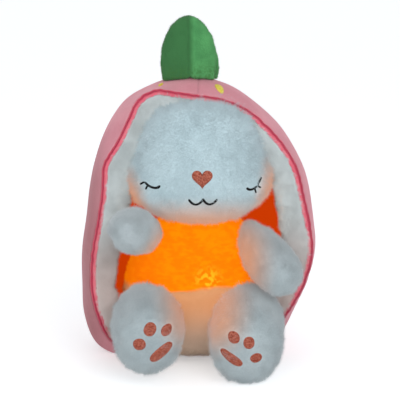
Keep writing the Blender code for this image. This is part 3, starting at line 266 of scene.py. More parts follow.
def bellyPlush():
    # The belly's glow is painted: a dark orange colour and orange emission stand in for the lamp's light
    # through the fabric, with a hot spot and dimmer sides.
    finish = Finish("bellyPlush", {"Roughness": 0.9, "Specular IOR Level": 0.05, "Emission Strength": 1.0})
    waver = (finish.noise(24.0, 2.0) - 0.5) * (glow["lapWaver"] * 2)
    edge = finish.z + waver + finish.x.size() * 0.05
    lit = edge.between(glow["lapHeight"] - glow["lapEdge"], glow["lapHeight"] + glow["lapEdge"])
    swirl = finish.noise(300.0, 2.0, finish.stretched(0.5, 0.3, 1.0)) * 0.6 + finish.noise(60.0, 2.0) * 0.4
    streak = swirl.between(0.40, 0.62)
    hot = finish.node(
        "ShaderNodeVectorMath", {"operation": "DISTANCE"}, {0: finish.at, 1: (0.006, -0.045, 0.082)}, "Value"
    )
    hot = hot.between(0.017, 0.003) * finish.noise(260.0, 1.0).between(0.42, 0.60)
    # Painted glow on the lap: paler low down, peach higher up toward the glowing belly.
    lap = finish.mix(finish.z.between(0.02, 0.065), tone(200, 172, 150), tone(212, 156, 112))
    base = finish.mix(lit, lap, tone(150, 60, 2))
    shine = finish.mix(streak, tone(232, 119, 2), tone(242, 136, 2))
    side = finish.x.size().between(0.018, 0.066)
    shine = finish.mix(side * 0.6, shine, tone(206, 92, 3))
    shine = finish.mix(hot * 0.8, shine, tone(250, 196, 40))
    # A faint painted amber glow on the lap, stronger higher up.
    dim = finish.mix(finish.z.between(0.0, 0.07) * 0.10, black, amber)
    light = finish.mix(lit, dim, shine)
    normal = finish.bump(finish.noise(700.0, 2.0), 0.5, 0.0008)
    return finish.show(colour=base, light=light, normal=normal)


def liningFleece():
    finish = Finish("liningFleece", {"Roughness": 0.95, "Specular IOR Level": 0.15, "Emission Strength": 1.0})
    patches = finish.noise(50.0, 3.0).between(0.3, 0.7)
    base = finish.mix(patches, tone(184, 190, 188), tone(208, 214, 212))
    low = finish.z.between(0.15, 0.07)
    base = finish.mix(low * 0.6, base, tone(206, 172, 160))
    deep = finish.y.between(-0.006, 0.008)
    band = finish.z.between(0.02, 0.05) * finish.z.between(0.215, 0.175)
    glowing = (deep * band).clamp()
    base = finish.mix(glowing, base, tone(150, 50, 6))
    light = finish.mix(glowing, black, tone(172, 56, 3))
    normal = finish.bump(finish.noise(800.0, 2.0), 0.3, 0.0008)
    return finish.show(colour=base, light=light, normal=normal)


def pinkVelboa():
    finish = Finish("pinkVelboa", {"Roughness": 0.85, "Sheen Weight": 0.45, "Sheen Roughness": 0.45})
    finish.shader.inputs["Sheen Tint"].default_value = tone(255, 205, 212)
    patches = finish.noise(30.0, 4.0).between(0.3, 0.7)
    pile = finish.noise(1500.0, 2.0)
    base = finish.mix(patches, tone(206, 132, 142), tone(222, 150, 158))
    base = finish.mix(pile.between(0.35, 0.65) * 0.35, base, tone(196, 112, 122))
    # Painted shade: the shell's left side is darker pink, as if turned away from the light.
    leftShadePainted = finish.x.between(-0.076, -0.100)
    base = finish.mix(leftShadePainted * 0.85, base, tone(150, 90, 92))
    height = pile * 0.5 + finish.noise(120.0, 3.0)
    return finish.show(colour=base, normal=finish.bump(height, 0.35, 0.0012))


def zipCloth():
    finish = Finish("zipCloth", {"Roughness": 0.7, "Sheen Weight": 0.2})
    inputs = {"Vector": finish.at, "Scale": 260.0, "Distortion": 1.5}
    weave = finish.node("ShaderNodeTexWave", {"bands_direction": "Z"}, inputs)
    shade = finish.noise(60.0, 2.0).between(0.35, 0.65)
    base = finish.mix(shade, tone(228, 96, 114), tone(236, 118, 130))
    base = finish.mix(weave * 0.25, base, tone(208, 76, 98))
    return finish.show(colour=base, normal=finish.bump(weave, 0.5, 0.0004))


def zipCoil():
    finish = Finish("zipCoil", {"Roughness": 0.45})
    shade = finish.noise(80.0, 2.0)
    base = finish.mix(shade, tone(180, 38, 70), tone(204, 56, 88))
    return finish.show(colour=base)


def leafPlush():
    finish = Finish("leafPlush", {"Roughness": 0.9, "Sheen Weight": 0.3})
    finish.shader.inputs["Sheen Tint"].default_value = tone(190, 230, 180)
    patches = finish.noise(70.0, 3.0).between(0.3, 0.7)
    base = finish.mix(patches, tone(66, 134, 76), tone(84, 158, 92))
    left = finish.x.between(-0.003, -0.009)
    base = finish.mix(left * 0.9, base, tone(50, 104, 56))
    low = finish.z.between(0.275, 0.255)
    base = finish.mix(low * finish.noise(500.0, 2.0).between(0.45, 0.6) * 0.6, base, tone(58, 110, 48))
    height = finish.noise(900.0, 3.0)
    return finish.show(colour=base, normal=finish.bump(height, 0.6, 0.001))


def stitched(name, low, high, scale, lean=(1.0, 1.0, 1.0)):
    finish = Finish(name, {"Roughness": 0.6, "Specular IOR Level": 0.2})
    rows = finish.noise(scale, 2.0, finish.stretched(*lean))
    base = finish.mix(rows.between(0.4, 0.6), low, high)
    return finish.show(colour=base, normal=finish.bump(rows, 0.6, 0.0006))


def moulded(name, low, high, rough, metal=0.0):
    finish = Finish(name, {"Metallic": metal})
    grain = finish.noise(1400.0, 2.0)
    wear = finish.noise(90.0, 3.0)
    base = finish.mix(wear.between(0.35, 0.7), low, high)
    return finish.show(
        colour=base, rough=wear * 0.15 + rough, normal=finish.bump(grain, 0.25, 0.0001)
    )


headPlush, armLeftPlush, armRightPlush, legPlush, earPlush = (whitePlush(name) for name in plush["shades"])
belly, fleece = bellyPlush(), liningFleece()
velboa, tapeCloth, coilNylon, leafCloth = pinkVelboa(), zipCloth(), zipCoil(), leafPlush()
brownStitch = stitched("brownStitch", tone(132, 58, 42), tone(182, 104, 84), 700.0, (1.0, 1.0, 2.2))
blackStitch = stitched("blackStitch", tone(4, 4, 5), tone(14, 14, 15), 900.0)
yellowFelt = stitched("yellowFelt", tone(206, 184, 62), tone(234, 214, 96), 800.0)
print("fabrics mixed")


# Shapes

def putMesh(name, points, faces, material, smoothShade=True):
    mesh = bpy.data.meshes.new(name)
    mesh.from_pydata([tuple(p) for p in points], [], faces)
    mesh.materials.append(material)
    if smoothShade:
        mesh.shade_smooth()
    made = bpy.data.objects.new(name, mesh)
    bpy.context.scene.collection.objects.link(made)
    return made


def rideWith(made, node):  # move with the body that carries a node
    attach(made, body_of(nodes[node])[0])


def settle(made):  # apply a piece's modifiers
    bpy.context.view_layer.update()
    graph = bpy.context.evaluated_depsgraph_get()
    result = bpy.data.meshes.new_from_object(made.evaluated_get(graph))
    made.modifiers.clear()
    made.data = result
    return made


def ease(value, low, high):
    part = np.clip((value - low) / (high - low), 0, 1)
    return part * part * (3 - 2 * part)


def gridFaces(rows, columns, closed):
    faces = []
    for row in range(rows - 1):
        here, ahead = row * columns, (row + 1) * columns
        for column in range(columns if closed else columns - 1):
            after = (column + 1) % columns
            faces.append((here + column, here + after, ahead + after, ahead + column))
    return faces


# Strawberry shell: the same outline as the solids, much finer

shell = {
    "halfWidth": 0.105,
    "height": 0.255,
    "middleZ": 0.115,
    "backY": 0.072,
    "widestY": 0.005,
    "sideRimY": -0.030,
    "topRimY": -0.026,
    "baseRimY": -0.003,
    "fullness": 2.4,
    "rimRise": 0.25,
    "topRow": 14,
    "liningIn": 0.0036,
    "liningPuff": 0.00168,
    "puffReach": 0.6,
    "seamWidth": 0.0030,
    "seamDepth": 0.0008,
    "pucker": 0.0007,
    "fold": 0.0009,
    # across and up of the widest line, then of the rim, as shares, round from the base's middle
    "outline": (
        (0.00, -0.045, 0.00, -0.045),
        (0.40, -0.045, 0.38, -0.045),
        (0.64, -0.005, 0.59, 0.000),
        (0.77, 0.090, 0.70, 0.110),
        (0.87, 0.190, 0.81, 0.210),
        (0.96, 0.285, 0.90, 0.290),
        (1.01, 0.390, 0.96, 0.390),
        (1.00, 0.490, 0.94, 0.490),
        (0.96, 0.600, 0.88, 0.600),
        (0.90, 0.685, 0.82, 0.700),
        (0.80, 0.765, 0.70, 0.785),
        (0.66, 0.842, 0.54, 0.860),
        (0.48, 0.912, 0.37, 0.915),
        (0.26, 0.970, 0.17, 0.948),
        (0.00, 1.000, -0.02, 0.960),
        (-0.24, 0.992, -0.20, 0.972),
        (-0.44, 0.962, -0.37, 0.980),
        (-0.60, 0.920, -0.52, 0.945),
        (-0.72, 0.858, -0.61, 0.875),
        (-0.81, 0.785, -0.70, 0.800),
        (-0.88, 0.695, -0.81, 0.725),
        (-0.925, 0.600, -0.83, 0.630),
        (-0.96, 0.500, -0.87, 0.520),
        (-0.99, 0.400, -0.92, 0.410),
        (-1.00, 0.280, -0.93, 0.280),
        (-0.985, 0.150, -0.88, 0.170),
        (-0.88, 0.035, -0.78, 0.065),
        (-0.64, -0.020, -0.60, -0.010),
        (-0.40, -0.045, -0.38, -0.045),
    ),
}
outlineRows = np.array(shell["outline"])
topPlace = shell["topRow"] / len(outlineRows)


def curveAt(a, b, c, d, part):  # a smooth curve from b to c
    bend, twist = 2 * a - 5 * b + 4 * c - d, 3 * b - a - 3 * c + d
    return (2 * b + (c - a) * part + bend * part**2 + twist * part**3) / 2


def outlineAt(place):
    count = len(outlineRows)
    spot = np.asarray(place) * count
    first = np.floor(spot).astype(int)
    four = (outlineRows[(first + step) % count] for step in (-1, 0, 1, 2))
    return curveAt(*four, (spot - first)[..., None])


def power(value, fullness):
    return np.sign(value) * np.abs(value) ** (2 / fullness)


def rimDepth(height):
    low = ease(height, 0, shell["rimRise"])
    high = np.clip((height - 1 + shell["rimRise"]) / shell["rimRise"], 0, 1)
    side = shell["sideRimY"] + (shell["topRimY"] - shell["sideRimY"]) * high
    return shell["baseRimY"] + (side - shell["baseRimY"]) * low


def shellPoints(places, alongs, insets):  # rows go from the rim at -1 to the back's middle at 1
    scale = np.array([shell["halfWidth"], shell["height"]])
    step = 0.006
    here = outlineAt(places)
    slope = outlineAt(places + step) - outlineAt(places - step)
    pair = []
    for first in (0, 2):
        tangent = slope[:, first:first + 2] * scale
        tangent /= np.linalg.norm(tangent, axis=1)[:, None]
        pair.append((here[:, first:first + 2] * scale, np.stack([-tangent[:, 1], tangent[:, 0]], 1)))
    front = rimDepth(here[:, 3])
    middle = np.array([0, shell["middleZ"]])
    rows = []
    for along, inset in zip(alongs, insets if np.ndim(insets) else [insets] * len(alongs)):
        inset = np.broadcast_to(inset, len(places))
        widest, rim = (flat + inward * inset[:, None] for flat, inward in pair)
        if along < 0:
            part = 1 + along
            flat = rim + (widest - rim) * (1 - (1 - part) ** 2)
            depth = front + (shell["widestY"] - front) * part
        else:
            turn = along * math.pi / 2
            flat = middle + (widest - middle) * power(math.cos(turn), shell["fullness"])
            reach = shell["backY"] - inset - shell["widestY"]
            depth = shell["widestY"] + reach * power(math.sin(turn), shell["fullness"])
        rows.append(np.stack([flat[:, 0], depth, np.maximum(flat[:, 1], inset)], 1))
    return np.array(rows)


def waver(place, scale, seed):  # a smooth wander along the rim, between -1 and 1
    return noise.noise(Vector((math.cos(place * math.tau) * scale, math.sin(place * math.tau) * scale, seed)))


def halfPlaces(side, count):
    ends = (0.0, topPlace) if side > 0 else (topPlace, 1.0)
    return np.linspace(*ends, count)


def crumple(points, places, alongs, amount):  # puckers by the zip, broad folds, and a sewn seam in the middle
    for row, along in enumerate(alongs):
        near = math.exp(-((along + 1) / 0.55) ** 2)
        for column, place in enumerate(places):
            spot = points[row, column]
            out = Vector((spot[0], 0.35 * (spot[1] - shell["widestY"]), spot[2] - shell["middleZ"]))
            out.normalize()
            pucker = waver(place, 24.0, 3.0) * shell["pucker"] * near * amount
            fold = noise.noise(Vector(spot) * 26) * shell["fold"] * amount * (1 - near)
            seam = math.exp(-((spot[0] / shell["seamWidth"]) ** 2)) * shell["seamDepth"] * (1 - near)
            if spot[2] < 0.004:
                pucker, fold, seam = 0, 0, 0
            points[row, column] += np.array(out) * (pucker + fold - seam)
    return points


panel = {
    "columns": 150,
    "frontRows": 16,
    "backRows": 42,
    "thickness": 0.0022,
    "liningThickness": -0.0012,  # it grows outward, to the fabric
    "liningCrumple": 0.5,
}
alongRows = np.concatenate(
    [np.linspace(-1, 0, panel["frontRows"], endpoint=False), np.linspace(0, 1, panel["backRows"])]
)


def shellPanel(name, side, inset, thickness, material, amount):
    places = halfPlaces(side, panel["columns"])
    points = crumple(shellPoints(places, alongRows, inset), places, alongRows, amount)
    rows, columns = points.shape[:2]
    made = putMesh(name, points.reshape(-1, 3), gridFaces(rows, columns, False), material)
    made.data.flip_normals()
    weld = made.modifiers.new("close", "WELD")
    weld.merge_threshold = 0.00002
    wall = made.modifiers.new("wall", "SOLIDIFY")
    wall.thickness = thickness
    wall.offset = -1
    return settle(made)


flapBlend = {  # where each side of the shell turns with its flap
    "start": (0.066, 0.010, 0.115),
    "end": (0.088, -0.012, 0.115),
}


def bendWith(made, side):
    word = "right" if side > 0 else "left"
    ends = [Vector((side * p[0], p[1], p[2])) for p in (flapBlend["start"], flapBlend["end"])]
    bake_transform(made, "root", f"flap_{word}", *ends)


shellPieces = {}
for side, word in ((-1, "left"), (1, "right")):
    outer = shellPanel(f"shell_fabric_{word}", side, 0.0, panel["thickness"], velboa, 1.0)
    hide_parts("shell_outer", f"flap_{word}")
    rise = np.sin(np.pi * np.clip((alongRows + 1) / shell["puffReach"], 0, 1))
    puffed = shell["liningIn"] + shell["liningPuff"] * rise
    wall = panel["liningThickness"]
    lining = shellPanel(f"lining_{word}", side, puffed, wall, fleece, panel["liningCrumple"])
    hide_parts("shell_lining", f"flap_{word}_lining")
    shellPieces[word] = (outer, lining)
print("shell sewn")


# Zip along the rim: a woven tape with a coil

zipper = {
    "columns": 420,
    "tapeInsets": (0.0002, 0.0007, 0.0016, 0.0027, 0.0038, 0.0047, 0.0053, 0.0057),
    "tapeLifts": (-0.0003, 0.0006, 0.0009, 0.0010, 0.0009, 0.0009, 0.0006, -0.0002),
    "coilInset": 0.0014,
    "coilLift": 0.0016,
    "coilWide": 0.0009,
    "coilHigh": 0.0006,
    "wire": 0.00034,
    "pitch": 0.0017,
    "turnSteps": 10,
}


def rimPoints(places, insets, lifts):
    alongs = np.full(len(insets), -1.0)
    rim = crumple(shellPoints(places, alongs, insets), places, alongs, 1.0)
    rim[:, :, 1] -= np.array(lifts)[:, None]
    return rim


def zipTape(name, side):
    places = halfPlaces(side, zipper["columns"])
    points = rimPoints(places, zipper["tapeInsets"], zipper["tapeLifts"])
    rows, columns = points.shape[:2]
    made = putMesh(name, points.reshape(-1, 3), gridFaces(rows, columns, False), tapeCloth)
    wall = made.modifiers.new("wall", "SOLIDIFY")
    wall.thickness = 0.0004
    return settle(made)


def sweep(path, radius, sides):  # rings of points round a path
    ahead = np.gradient(path, axis=0)
    ahead /= np.linalg.norm(ahead, axis=1)[:, None]
    first = np.cross(ahead, (0.0, 0.31, 0.95))
    first /= np.linalg.norm(first, axis=1)[:, None]
    second = np.cross(ahead, first)
    turns = np.linspace(0, math.tau, sides, endpoint=False)
    rings = [path + radius * (first * math.cos(turn) + second * math.sin(turn)) for turn in turns]
    return np.stack(rings, 1)


def zipCoilPath(side):
    coarse = halfPlaces(side, 2000)
    line = rimPoints(coarse, [zipper["coilInset"]], [zipper["coilLift"]])[0]
    beside = rimPoints(coarse, [zipper["coilInset"] + 0.001], [zipper["coilLift"]])[0]
    inward = beside - line
    inward /= np.linalg.norm(inward, axis=1)[:, None]
    run = np.concatenate([[0], np.cumsum(np.linalg.norm(np.diff(line, axis=0), axis=1))])
    turns = int(run[-1] / zipper["pitch"])
    spots = np.linspace(0, run[-1], turns * zipper["turnSteps"])
    centre, across = (
        np.stack([np.interp(spots, run, part[:, i]) for i in range(3)], 1) for part in (line, inward)
    )
    swing = math.tau * spots / zipper["pitch"]
    forward = np.array((0, -1, 0)) * zipper["coilHigh"]
    return centre + across * zipper["coilWide"] * np.cos(swing)[:, None] + forward * np.sin(swing)[:, None]


for side, word, other in ((-1, "left", "base"), (1, "right", "top")):
    tape = zipTape(f"zip_cloth_{word}", side)
    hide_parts(f"zip_tape_{word}", f"zip_tape_{other}")
    rings = sweep(zipCoilPath(side), zipper["wire"], 5)
    coil = putMesh(f"zip_coil_{word}", rings.reshape(-1, 3), gridFaces(*rings.shape[:2], True), coilNylon)
    for part in (tape, coil, *shellPieces[word]):
        bendWith(part, side)
print("zip set along the rim")


# The lining's thick plush border, which swells out behind the zip

border = {
    "columns": 260,
    "startInset": 0.0056,
    "forward": 0.0010,
    "turns": np.linspace(0.0, 1.15, 14),
    "leastWidth": 0.0012,
    "waver": 0.14,
    "swell": 0.55,
    "behind": 0.002,
    # its width in mm, for each row of the shell's outline
    "widths": (
        0, 0, 3, 9, 13, 15, 15, 16, 16, 15, 13, 9, 6, 4, 4,
        6, 8, 12, 16, 18, 19, 18, 16, 15, 14, 12, 7, 2, 0, 0,
    ),
}


def borderRoll(name, side):
    places = halfPlaces(side, border["columns"])
    wide = np.interp(places * len(outlineRows), range(len(border["widths"])), border["widths"]) / 1000
    uneven = np.array([waver(place, 9.0, 5.0) for place in places])
    wide = wide * (1 + border["waver"] * uneven) + border["leastWidth"]
    rows = []
    for turn in border["turns"]:
        around = turn * math.pi
        inset = border["startInset"] + wide * (1 - math.cos(around)) / 2
        line = shellPoints(places, [-1.0], [inset])[0]
        deep = (wide * border["swell"] + border["behind"]) * (1 - math.cos(around * 0.9)) / 2
        line[:, 1] += deep - border["forward"] * math.sin(around)
        rows.append(line)
    points = np.array(rows)
    made = putMesh(name, points.reshape(-1, 3), gridFaces(*points.shape[:2], False), fleece)
    if sum(face.normal.y for face in made.data.polygons) > 0:
        made.data.flip_normals()
    return made


# Stuffed forms: each a smooth skin over its solid

def grownFrom(name, label, voxel, smoothing, swelling, material, shape=None):
    mesh = nodes[name].data.copy()
    mesh.materials.clear()
    mesh.materials.append(material)
    made = bpy.data.objects.new(label, mesh)
    bpy.context.scene.collection.objects.link(made)
    remesh = made.modifiers.new("skin", "REMESH")
    remesh.mode = "VOXEL"
    remesh.voxel_size = voxel
    soften = made.modifiers.new("soften", "SMOOTH")
    soften.factor = 0.5
    soften.iterations = smoothing
    settle(made)
    made.data.materials.clear()
    made.data.materials.append(material)
    count = len(made.data.vertices)
    points, normals = np.empty(count * 3), np.empty(count * 3)
    made.data.vertices.foreach_get("co", points)
    made.data.vertices.foreach_get("normal", normals)
    points, normals = points.reshape(-1, 3), normals.reshape(-1, 3)
    lumps = np.array([noise.noise(Vector(p) * 34) * 0.0011 + swelling for p in points])
    if shape:
        lumps = lumps + shape(points, normals)
    made.data.vertices.foreach_set("co", (points + normals * lumps[:, None]).ravel())
    made.data.shade_smooth()
    made.data.update()
    return made


def headForm(points, normals):  # the crown is full, up to the shell, and the cheeks swell
    crown = 0.0042 * ease(points[:, 2], 0.190, 0.230)
    level = np.exp(-(((points[:, 2] - 0.160) / 0.016) ** 2))
    cheeks = 0.0020 * level * ease(np.abs(points[:, 0]), 0.03, 0.055)
    return crown + cheeks


def legForm(points, normals):  # the sole is broad and flat
    return 0.0022 * ease(points[:, 1], -0.070, -0.092)


def earForm(points, normals):  # the ears hang close to the shell, away from the neck
    inward = np.clip(-np.sign(points[:, 0]) * normals[:, 0], 0, 1)
    return -0.0085 * inward * ease(points[:, 2], 0.196, 0.165)


def lapCrease(points, normals):  # the belly meets the lap in a crease
    near = np.exp(-(((points[:, 2] - 0.0725 - 0.003 * np.sin(points[:, 0] * 90)) / 0.0035) ** 2))
    return -0.0022 * near * (normals[:, 1] < 0)


def leafCrease(points, normals):
    near = np.exp(-(((points[:, 0] + 0.0072) / 0.0022) ** 2))
    return -0.0018 * near * (normals[:, 1] < 0)


def treeOf(made):
    mesh = made.data
    return BVHTree.FromPolygons([v.co for v in mesh.vertices], [p.vertices for p in mesh.polygons])


stuffed = {  # each soft solid: fabric, voxel, smoothing, swelling, extra shape, fill
    "torso": (belly, 0.0018, 20, 0.0004, lapCrease, 0.7),
    "head": (headPlush, 0.0018, 44, 0.0010, headForm, 0.85),
    "ear_left": (earPlush, 0.0015, 26, 0.0, earForm, 0.5),
    "ear_right": (earPlush, 0.0015, 26, 0.0, earForm, 0.5),
    "arm_left": (armLeftPlush, 0.0015, 30, -0.0018, None, 0.8),
    "arm_right": (armRightPlush, 0.0015, 30, -0.0018, None, 0.8),
    "leg_left": (legPlush, 0.0017, 24, -0.0010, legForm, 0.85),
    "leg_right": (legPlush, 0.0017, 24, -0.0010, legForm, 0.85),
    "leaf_front": (leafCloth, 0.0012, 8, 0.0004, leafCrease, 0.7),
    "leaf_back": (leafCloth, 0.0012, 8, 0.0004, leafCrease, 0.7),
}
skins, trees = {}, {}
for name, (material, voxel, smoothing, swelling, shape, fill) in stuffed.items():
    skin = grownFrom(name, f"{name}_skin", voxel, smoothing, swelling, material, shape)
    rideWith(skin, name)
    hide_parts(name)
    "green_plush" if "leaf" in name else "white_plush"
    skins[name], trees[name] = skin, treeOf(skin)
print("stuffed forms grown")


# Embroidery and seeds: domed patches that follow the skin below them

class Patch:
    def __init__(self, tree, centre, normal, upward=(0, 0, 1)):
        self.tree = tree
        self.normal = Vector(normal).normalized()
        self.across = Vector(upward).cross(self.normal).normalized()
        self.upward = self.normal.cross(self.across)
        self.centre = Vector(centre)
        self.spots = []

    def lay(self, across, upward, height):
        start = self.centre + self.across * across + self.upward * upward + self.normal * 0.08
        hit = self.tree.ray_cast(start, -self.normal, 0.14)
        spot = hit[0] if hit[0] else start - self.normal * 0.08
        spot = spot + self.normal * height
        self.spots.append(spot)
        return spot

    def fill(self, name, outline, thick, ridge, pitch, lean, material):  # a satin-stitched shape
        outline = np.array(outline)
        middle = outline.mean(axis=0)
        count = len(outline)
        points, shares = [], np.concatenate([np.linspace(0.04, 0.96, 22), (1.0, 1.03)])
        for share in shares:
            dome = thick * (1 - min(share, 1) ** 5) if share < 1 else -0.0006
            for x, y in middle + (outline - middle) * share:
                row = math.sin(math.tau * (x * math.cos(lean) + y * math.sin(lean)) / pitch)
                points.append(self.lay(x, y, dome + ridge * row * (1 - min(share, 1) ** 8)))
        faces = gridFaces(len(shares), count, True)
        faces.append(tuple(reversed(range(count))))
        return putMesh(name, points, faces, material)

    def cord(self, lines, width, high, pitch):  # lines of stitches
        points, faces = [], []
        for line in lines:
            line = np.array(line)
            run = np.concatenate([[0], np.cumsum(np.linalg.norm(np.diff(line, axis=0), axis=1))])
            spots = np.linspace(0, run[-1], max(int(run[-1] / 0.0003), 6))
            path = np.stack([np.interp(spots, run, line[:, i]) for i in range(2)], 1)
            ahead = np.gradient(path, axis=0)
            ahead /= np.linalg.norm(ahead, axis=1)[:, None]
            beside = np.stack([-ahead[:, 1], ahead[:, 0]], 1)
            ends = np.minimum(spots, run[-1] - spots)
            slim = np.sqrt(np.clip(ends / (width / 2), 0.05, 1))
            first = len(points)
            steps = np.linspace(-1, 1, 9)
            for spot, centre, out, part in zip(spots, path, beside, slim):
                for step in steps:
                    x, y = centre + out * step * width / 2 * part
                    bead = 1 + 0.22 * math.sin(math.tau * (spot / pitch + step * 0.3))
                    points.append(self.lay(x, y, high * part * bead * math.sqrt(1.02 - step * step) - 0.0003))
            grid = gridFaces(len(spots), len(steps), False)
            faces += [tuple(i + first for i in face) for face in grid]
        return points, faces


def padPoints(length, width, tilt, shift, fullness, count=72):
    turn = math.radians(tilt)
    around = np.linspace(0, math.tau, count, endpoint=False)
    x, y = length / 2 * power(np.cos(around), fullness), width / 2 * power(np.sin(around), fullness)
    across = shift[0] + x * math.cos(turn) - y * math.sin(turn)
    upward = shift[1] + x * math.sin(turn) + y * math.cos(turn)
    return np.stack([across, upward], 1)


def heartPoints(width, height, count=90):
    around = np.linspace(0, math.tau, count, endpoint=False)
    shares = (0.448, -0.172, -0.069, -0.034)
    waves = sum(share * np.cos(number * around) for number, share in enumerate(shares, 1))
    return np.stack([width / 2 * np.sin(around) ** 3, height * (waves + 0.086)], 1)


def dropPoints(length, width, count=48):
    around = np.linspace(0, math.tau, count, endpoint=False)
    pinch = 1 - 0.45 * (1 + np.sin(around)) / 2
    return np.stack([width / 2 * np.cos(around) * pinch, -length / 2 * np.sin(around)], 1)


sewnSpots = {name: [] for name in stuffed}


def finishPatch(made, node, on, patch):
    if on:
        sewnSpots[on] += patch.spots
    rideWith(made, node)
    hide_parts(node)


face = {
    "noseWidth": 0.0183,
    "noseHeight": 0.0166,
    "noseAt": (-0.0007, -0.01, 0.1772),
    "noseStitch": (0.0021, 0.00018, 0.0013, 1.57),  # thickness, ridge, pitch and lean
    "mouthAt": (0.0001, -0.01, 0.1598),
    "mouthHalf": 0.0123,
    "mouthDrop": 0.0053,
    "stroke": 0.0023,
    "lash": 0.0016,
    "high": 0.0013,
    "bead": 0.0011,
}
patch = Patch(trees["head"], face["noseAt"], (0, -1, 0))
heart = heartPoints(face["noseWidth"], face["noseHeight"])
nose = patch.fill("nose_stitching", heart, *face["noseStitch"], brownStitch)
finishPatch(nose, "nose", "head", patch)

patch = Patch(trees["head"], face["mouthAt"], (0, -1, 0))
across = np.linspace(-1, 1, 61)
drop = face["mouthDrop"] * np.abs(np.sin(math.pi * across)) ** 0.8
mouthLine = np.stack([face["mouthHalf"] * across, -drop], 1)
stitches = patch.cord([mouthLine], face["stroke"], face["high"], face["bead"])
mouth = putMesh("mouth_stitching", *stitches, blackStitch)
finishPatch(mouth, "mouth", "head", patch)

lids = {  # each closed eye: its middle, the lid's points and its lashes, in metres
    "eye_left": (
        (-0.0440, -0.01, 0.1690),
        ((-0.0057, 0.0029), (-0.0021, 0.0001), (0.0018, -0.0010), (0.0053, -0.0005), (0.0078, 0.0018)),
        (((-0.0055, 0.0028), (-0.0095, -0.0006)), ((-0.0028, 0.0003), (-0.0047, -0.0041))),
    ),
    "eye_right": (
        (0.0430, -0.01, 0.1690),
        (
            (-0.0046, -0.0020), (-0.0022, -0.0040), (0.0004, -0.0046),
            (0.0030, -0.0038), (0.0054, -0.0020), (0.0099, 0.0046),
        ),
        (((0.0056, -0.0020), (0.0095, -0.0052)), ((0.0032, -0.0038), (0.0050, -0.0094))),
    ),
}


def smoothLine(points, count=30):
    points = np.array(points)
    spots = np.linspace(0, len(points) - 1, count)
    padded = np.concatenate([[2 * points[0] - points[1]], points, [2 * points[-1] - points[-2]]])
    line = []
    for spot in spots:
        first = min(int(spot), len(points) - 2)
        line.append(curveAt(*padded[first:first + 4], spot - first))
    return line


for name, (middle, lid, lashes) in lids.items():
    patch = Patch(trees["head"], middle, (0, -1, 0))
    points, faces = patch.cord([smoothLine(lid)], face["stroke"], face["high"], face["bead"])
    more, moreFaces = patch.cord(lashes, face["lash"], face["high"] * 0.8, face["bead"])
    faces += [tuple(i + len(points) for i in f) for f in moreFaces]
    made = putMesh(f"{name}_stitching", points + more, faces, blackStitch)
    finishPatch(made, name, "head", patch)
print("face embroidered")

soles = {  # each sole's middle and hip, and its pads: across, up, length, width, tilt
    "left": {
        "sole": (-0.0505, -0.098, 0.0400),
        "hip": (-0.044, -0.004, 0.047),
        "toe_pad_outer": (-0.0064, 0.0020, 0.0114, 0.0108, 20.0),
        "toe_pad_middle": (0.0027, 0.0150, 0.0118, 0.0108, 60.0),
        "toe_pad_inner": (0.0166, 0.0126, 0.0092, 0.0094, 90.0),
        "ball_pad": (0.0120, -0.0062, 0.0240, 0.0100, 41.0),
    },
    "right": {
        "sole": (0.0345, -0.102, 0.0305),
        "hip": (0.044, -0.004, 0.047),
        "toe_pad_inner": (-0.0108, 0.0165, 0.0100, 0.0104, 90.0),
        "toe_pad_middle": (0.0021, 0.0128, 0.0112, 0.0098, 90.0),
        "toe_pad_outer": (0.0083, -0.0014, 0.0108, 0.0090, 30.0),
        "ball_pad": (-0.0128, -0.0026, 0.0225, 0.0090, -34.0),
    },
}
padStitch = {"thick": 0.0013, "ridge": 0.0002, "pitch": 0.0014, "toeFullness": 2.15, "ballFullness": 2.5}
for word, pads in soles.items():
    sole, hip = Vector(pads["sole"]), Vector(pads["hip"])
    for name in ("toe_pad_outer", "toe_pad_middle", "toe_pad_inner", "ball_pad"):
        x, y, length, width, tilt = pads[name]
        leg = f"leg_{word}"
        patch = Patch(trees[leg], sole, sole - hip)
        lean, fullness = math.radians(tilt), padStitch["toeFullness"]
        if name == "ball_pad":
            lean, fullness = lean + math.pi / 2, padStitch["ballFullness"]
        outline = padPoints(length, width, tilt, (x, y), fullness)
        stitch = padStitch["thick"], padStitch["ridge"], padStitch["pitch"], lean
        made = patch.fill(f"{name}_{word}_stitching", outline, *stitch, brownStitch)
        finishPatch(made, f"{name}_{word}", leg, patch)

seeds = {  # each seed's length and width
    "seed_top_right": (0.0140, 0.0095),
    "seed_top_left": (0.0075, 0.0055),
    "seed_right_side": (0.0140, 0.0095),
    "seed_left_side": (0.0140, 0.0095),
    "seed_back_top": (0.0140, 0.0095),
    "seed_back_right": (0.0140, 0.0095),
    "seed_back_left": (0.0140, 0.0095),
}
seedThick = 0.0013
shellTree = {word: treeOf(pieces[0]) for word, pieces in shellPieces.items()}
for name, size in seeds.items():
    low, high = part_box(name)
    middle = (Vector(low) + Vector(high)) / 2
    tree = min(shellTree.values(), key=lambda t: (t.find_nearest(middle)[0] - middle).length)
    spot, normal = tree.find_nearest(middle)[:2]
    if normal.dot(spot - Vector((0, 0.01, shell["middleZ"]))) < 0:
        normal = -normal
    if "top_" in name:  # these tip toward the front
        normal = normal + Vector((0, -0.9, 0))
    patch = Patch(tree, spot, normal)
    seed = patch.fill(f"{name}_felt", dropPoints(*size), seedThick, 0.0, 0.001, 0.0, yellowFelt)
    finishPatch(seed, name, None, patch)
print("pads and seeds sewn")


# Pile: short tufts of plush that stand on a skin

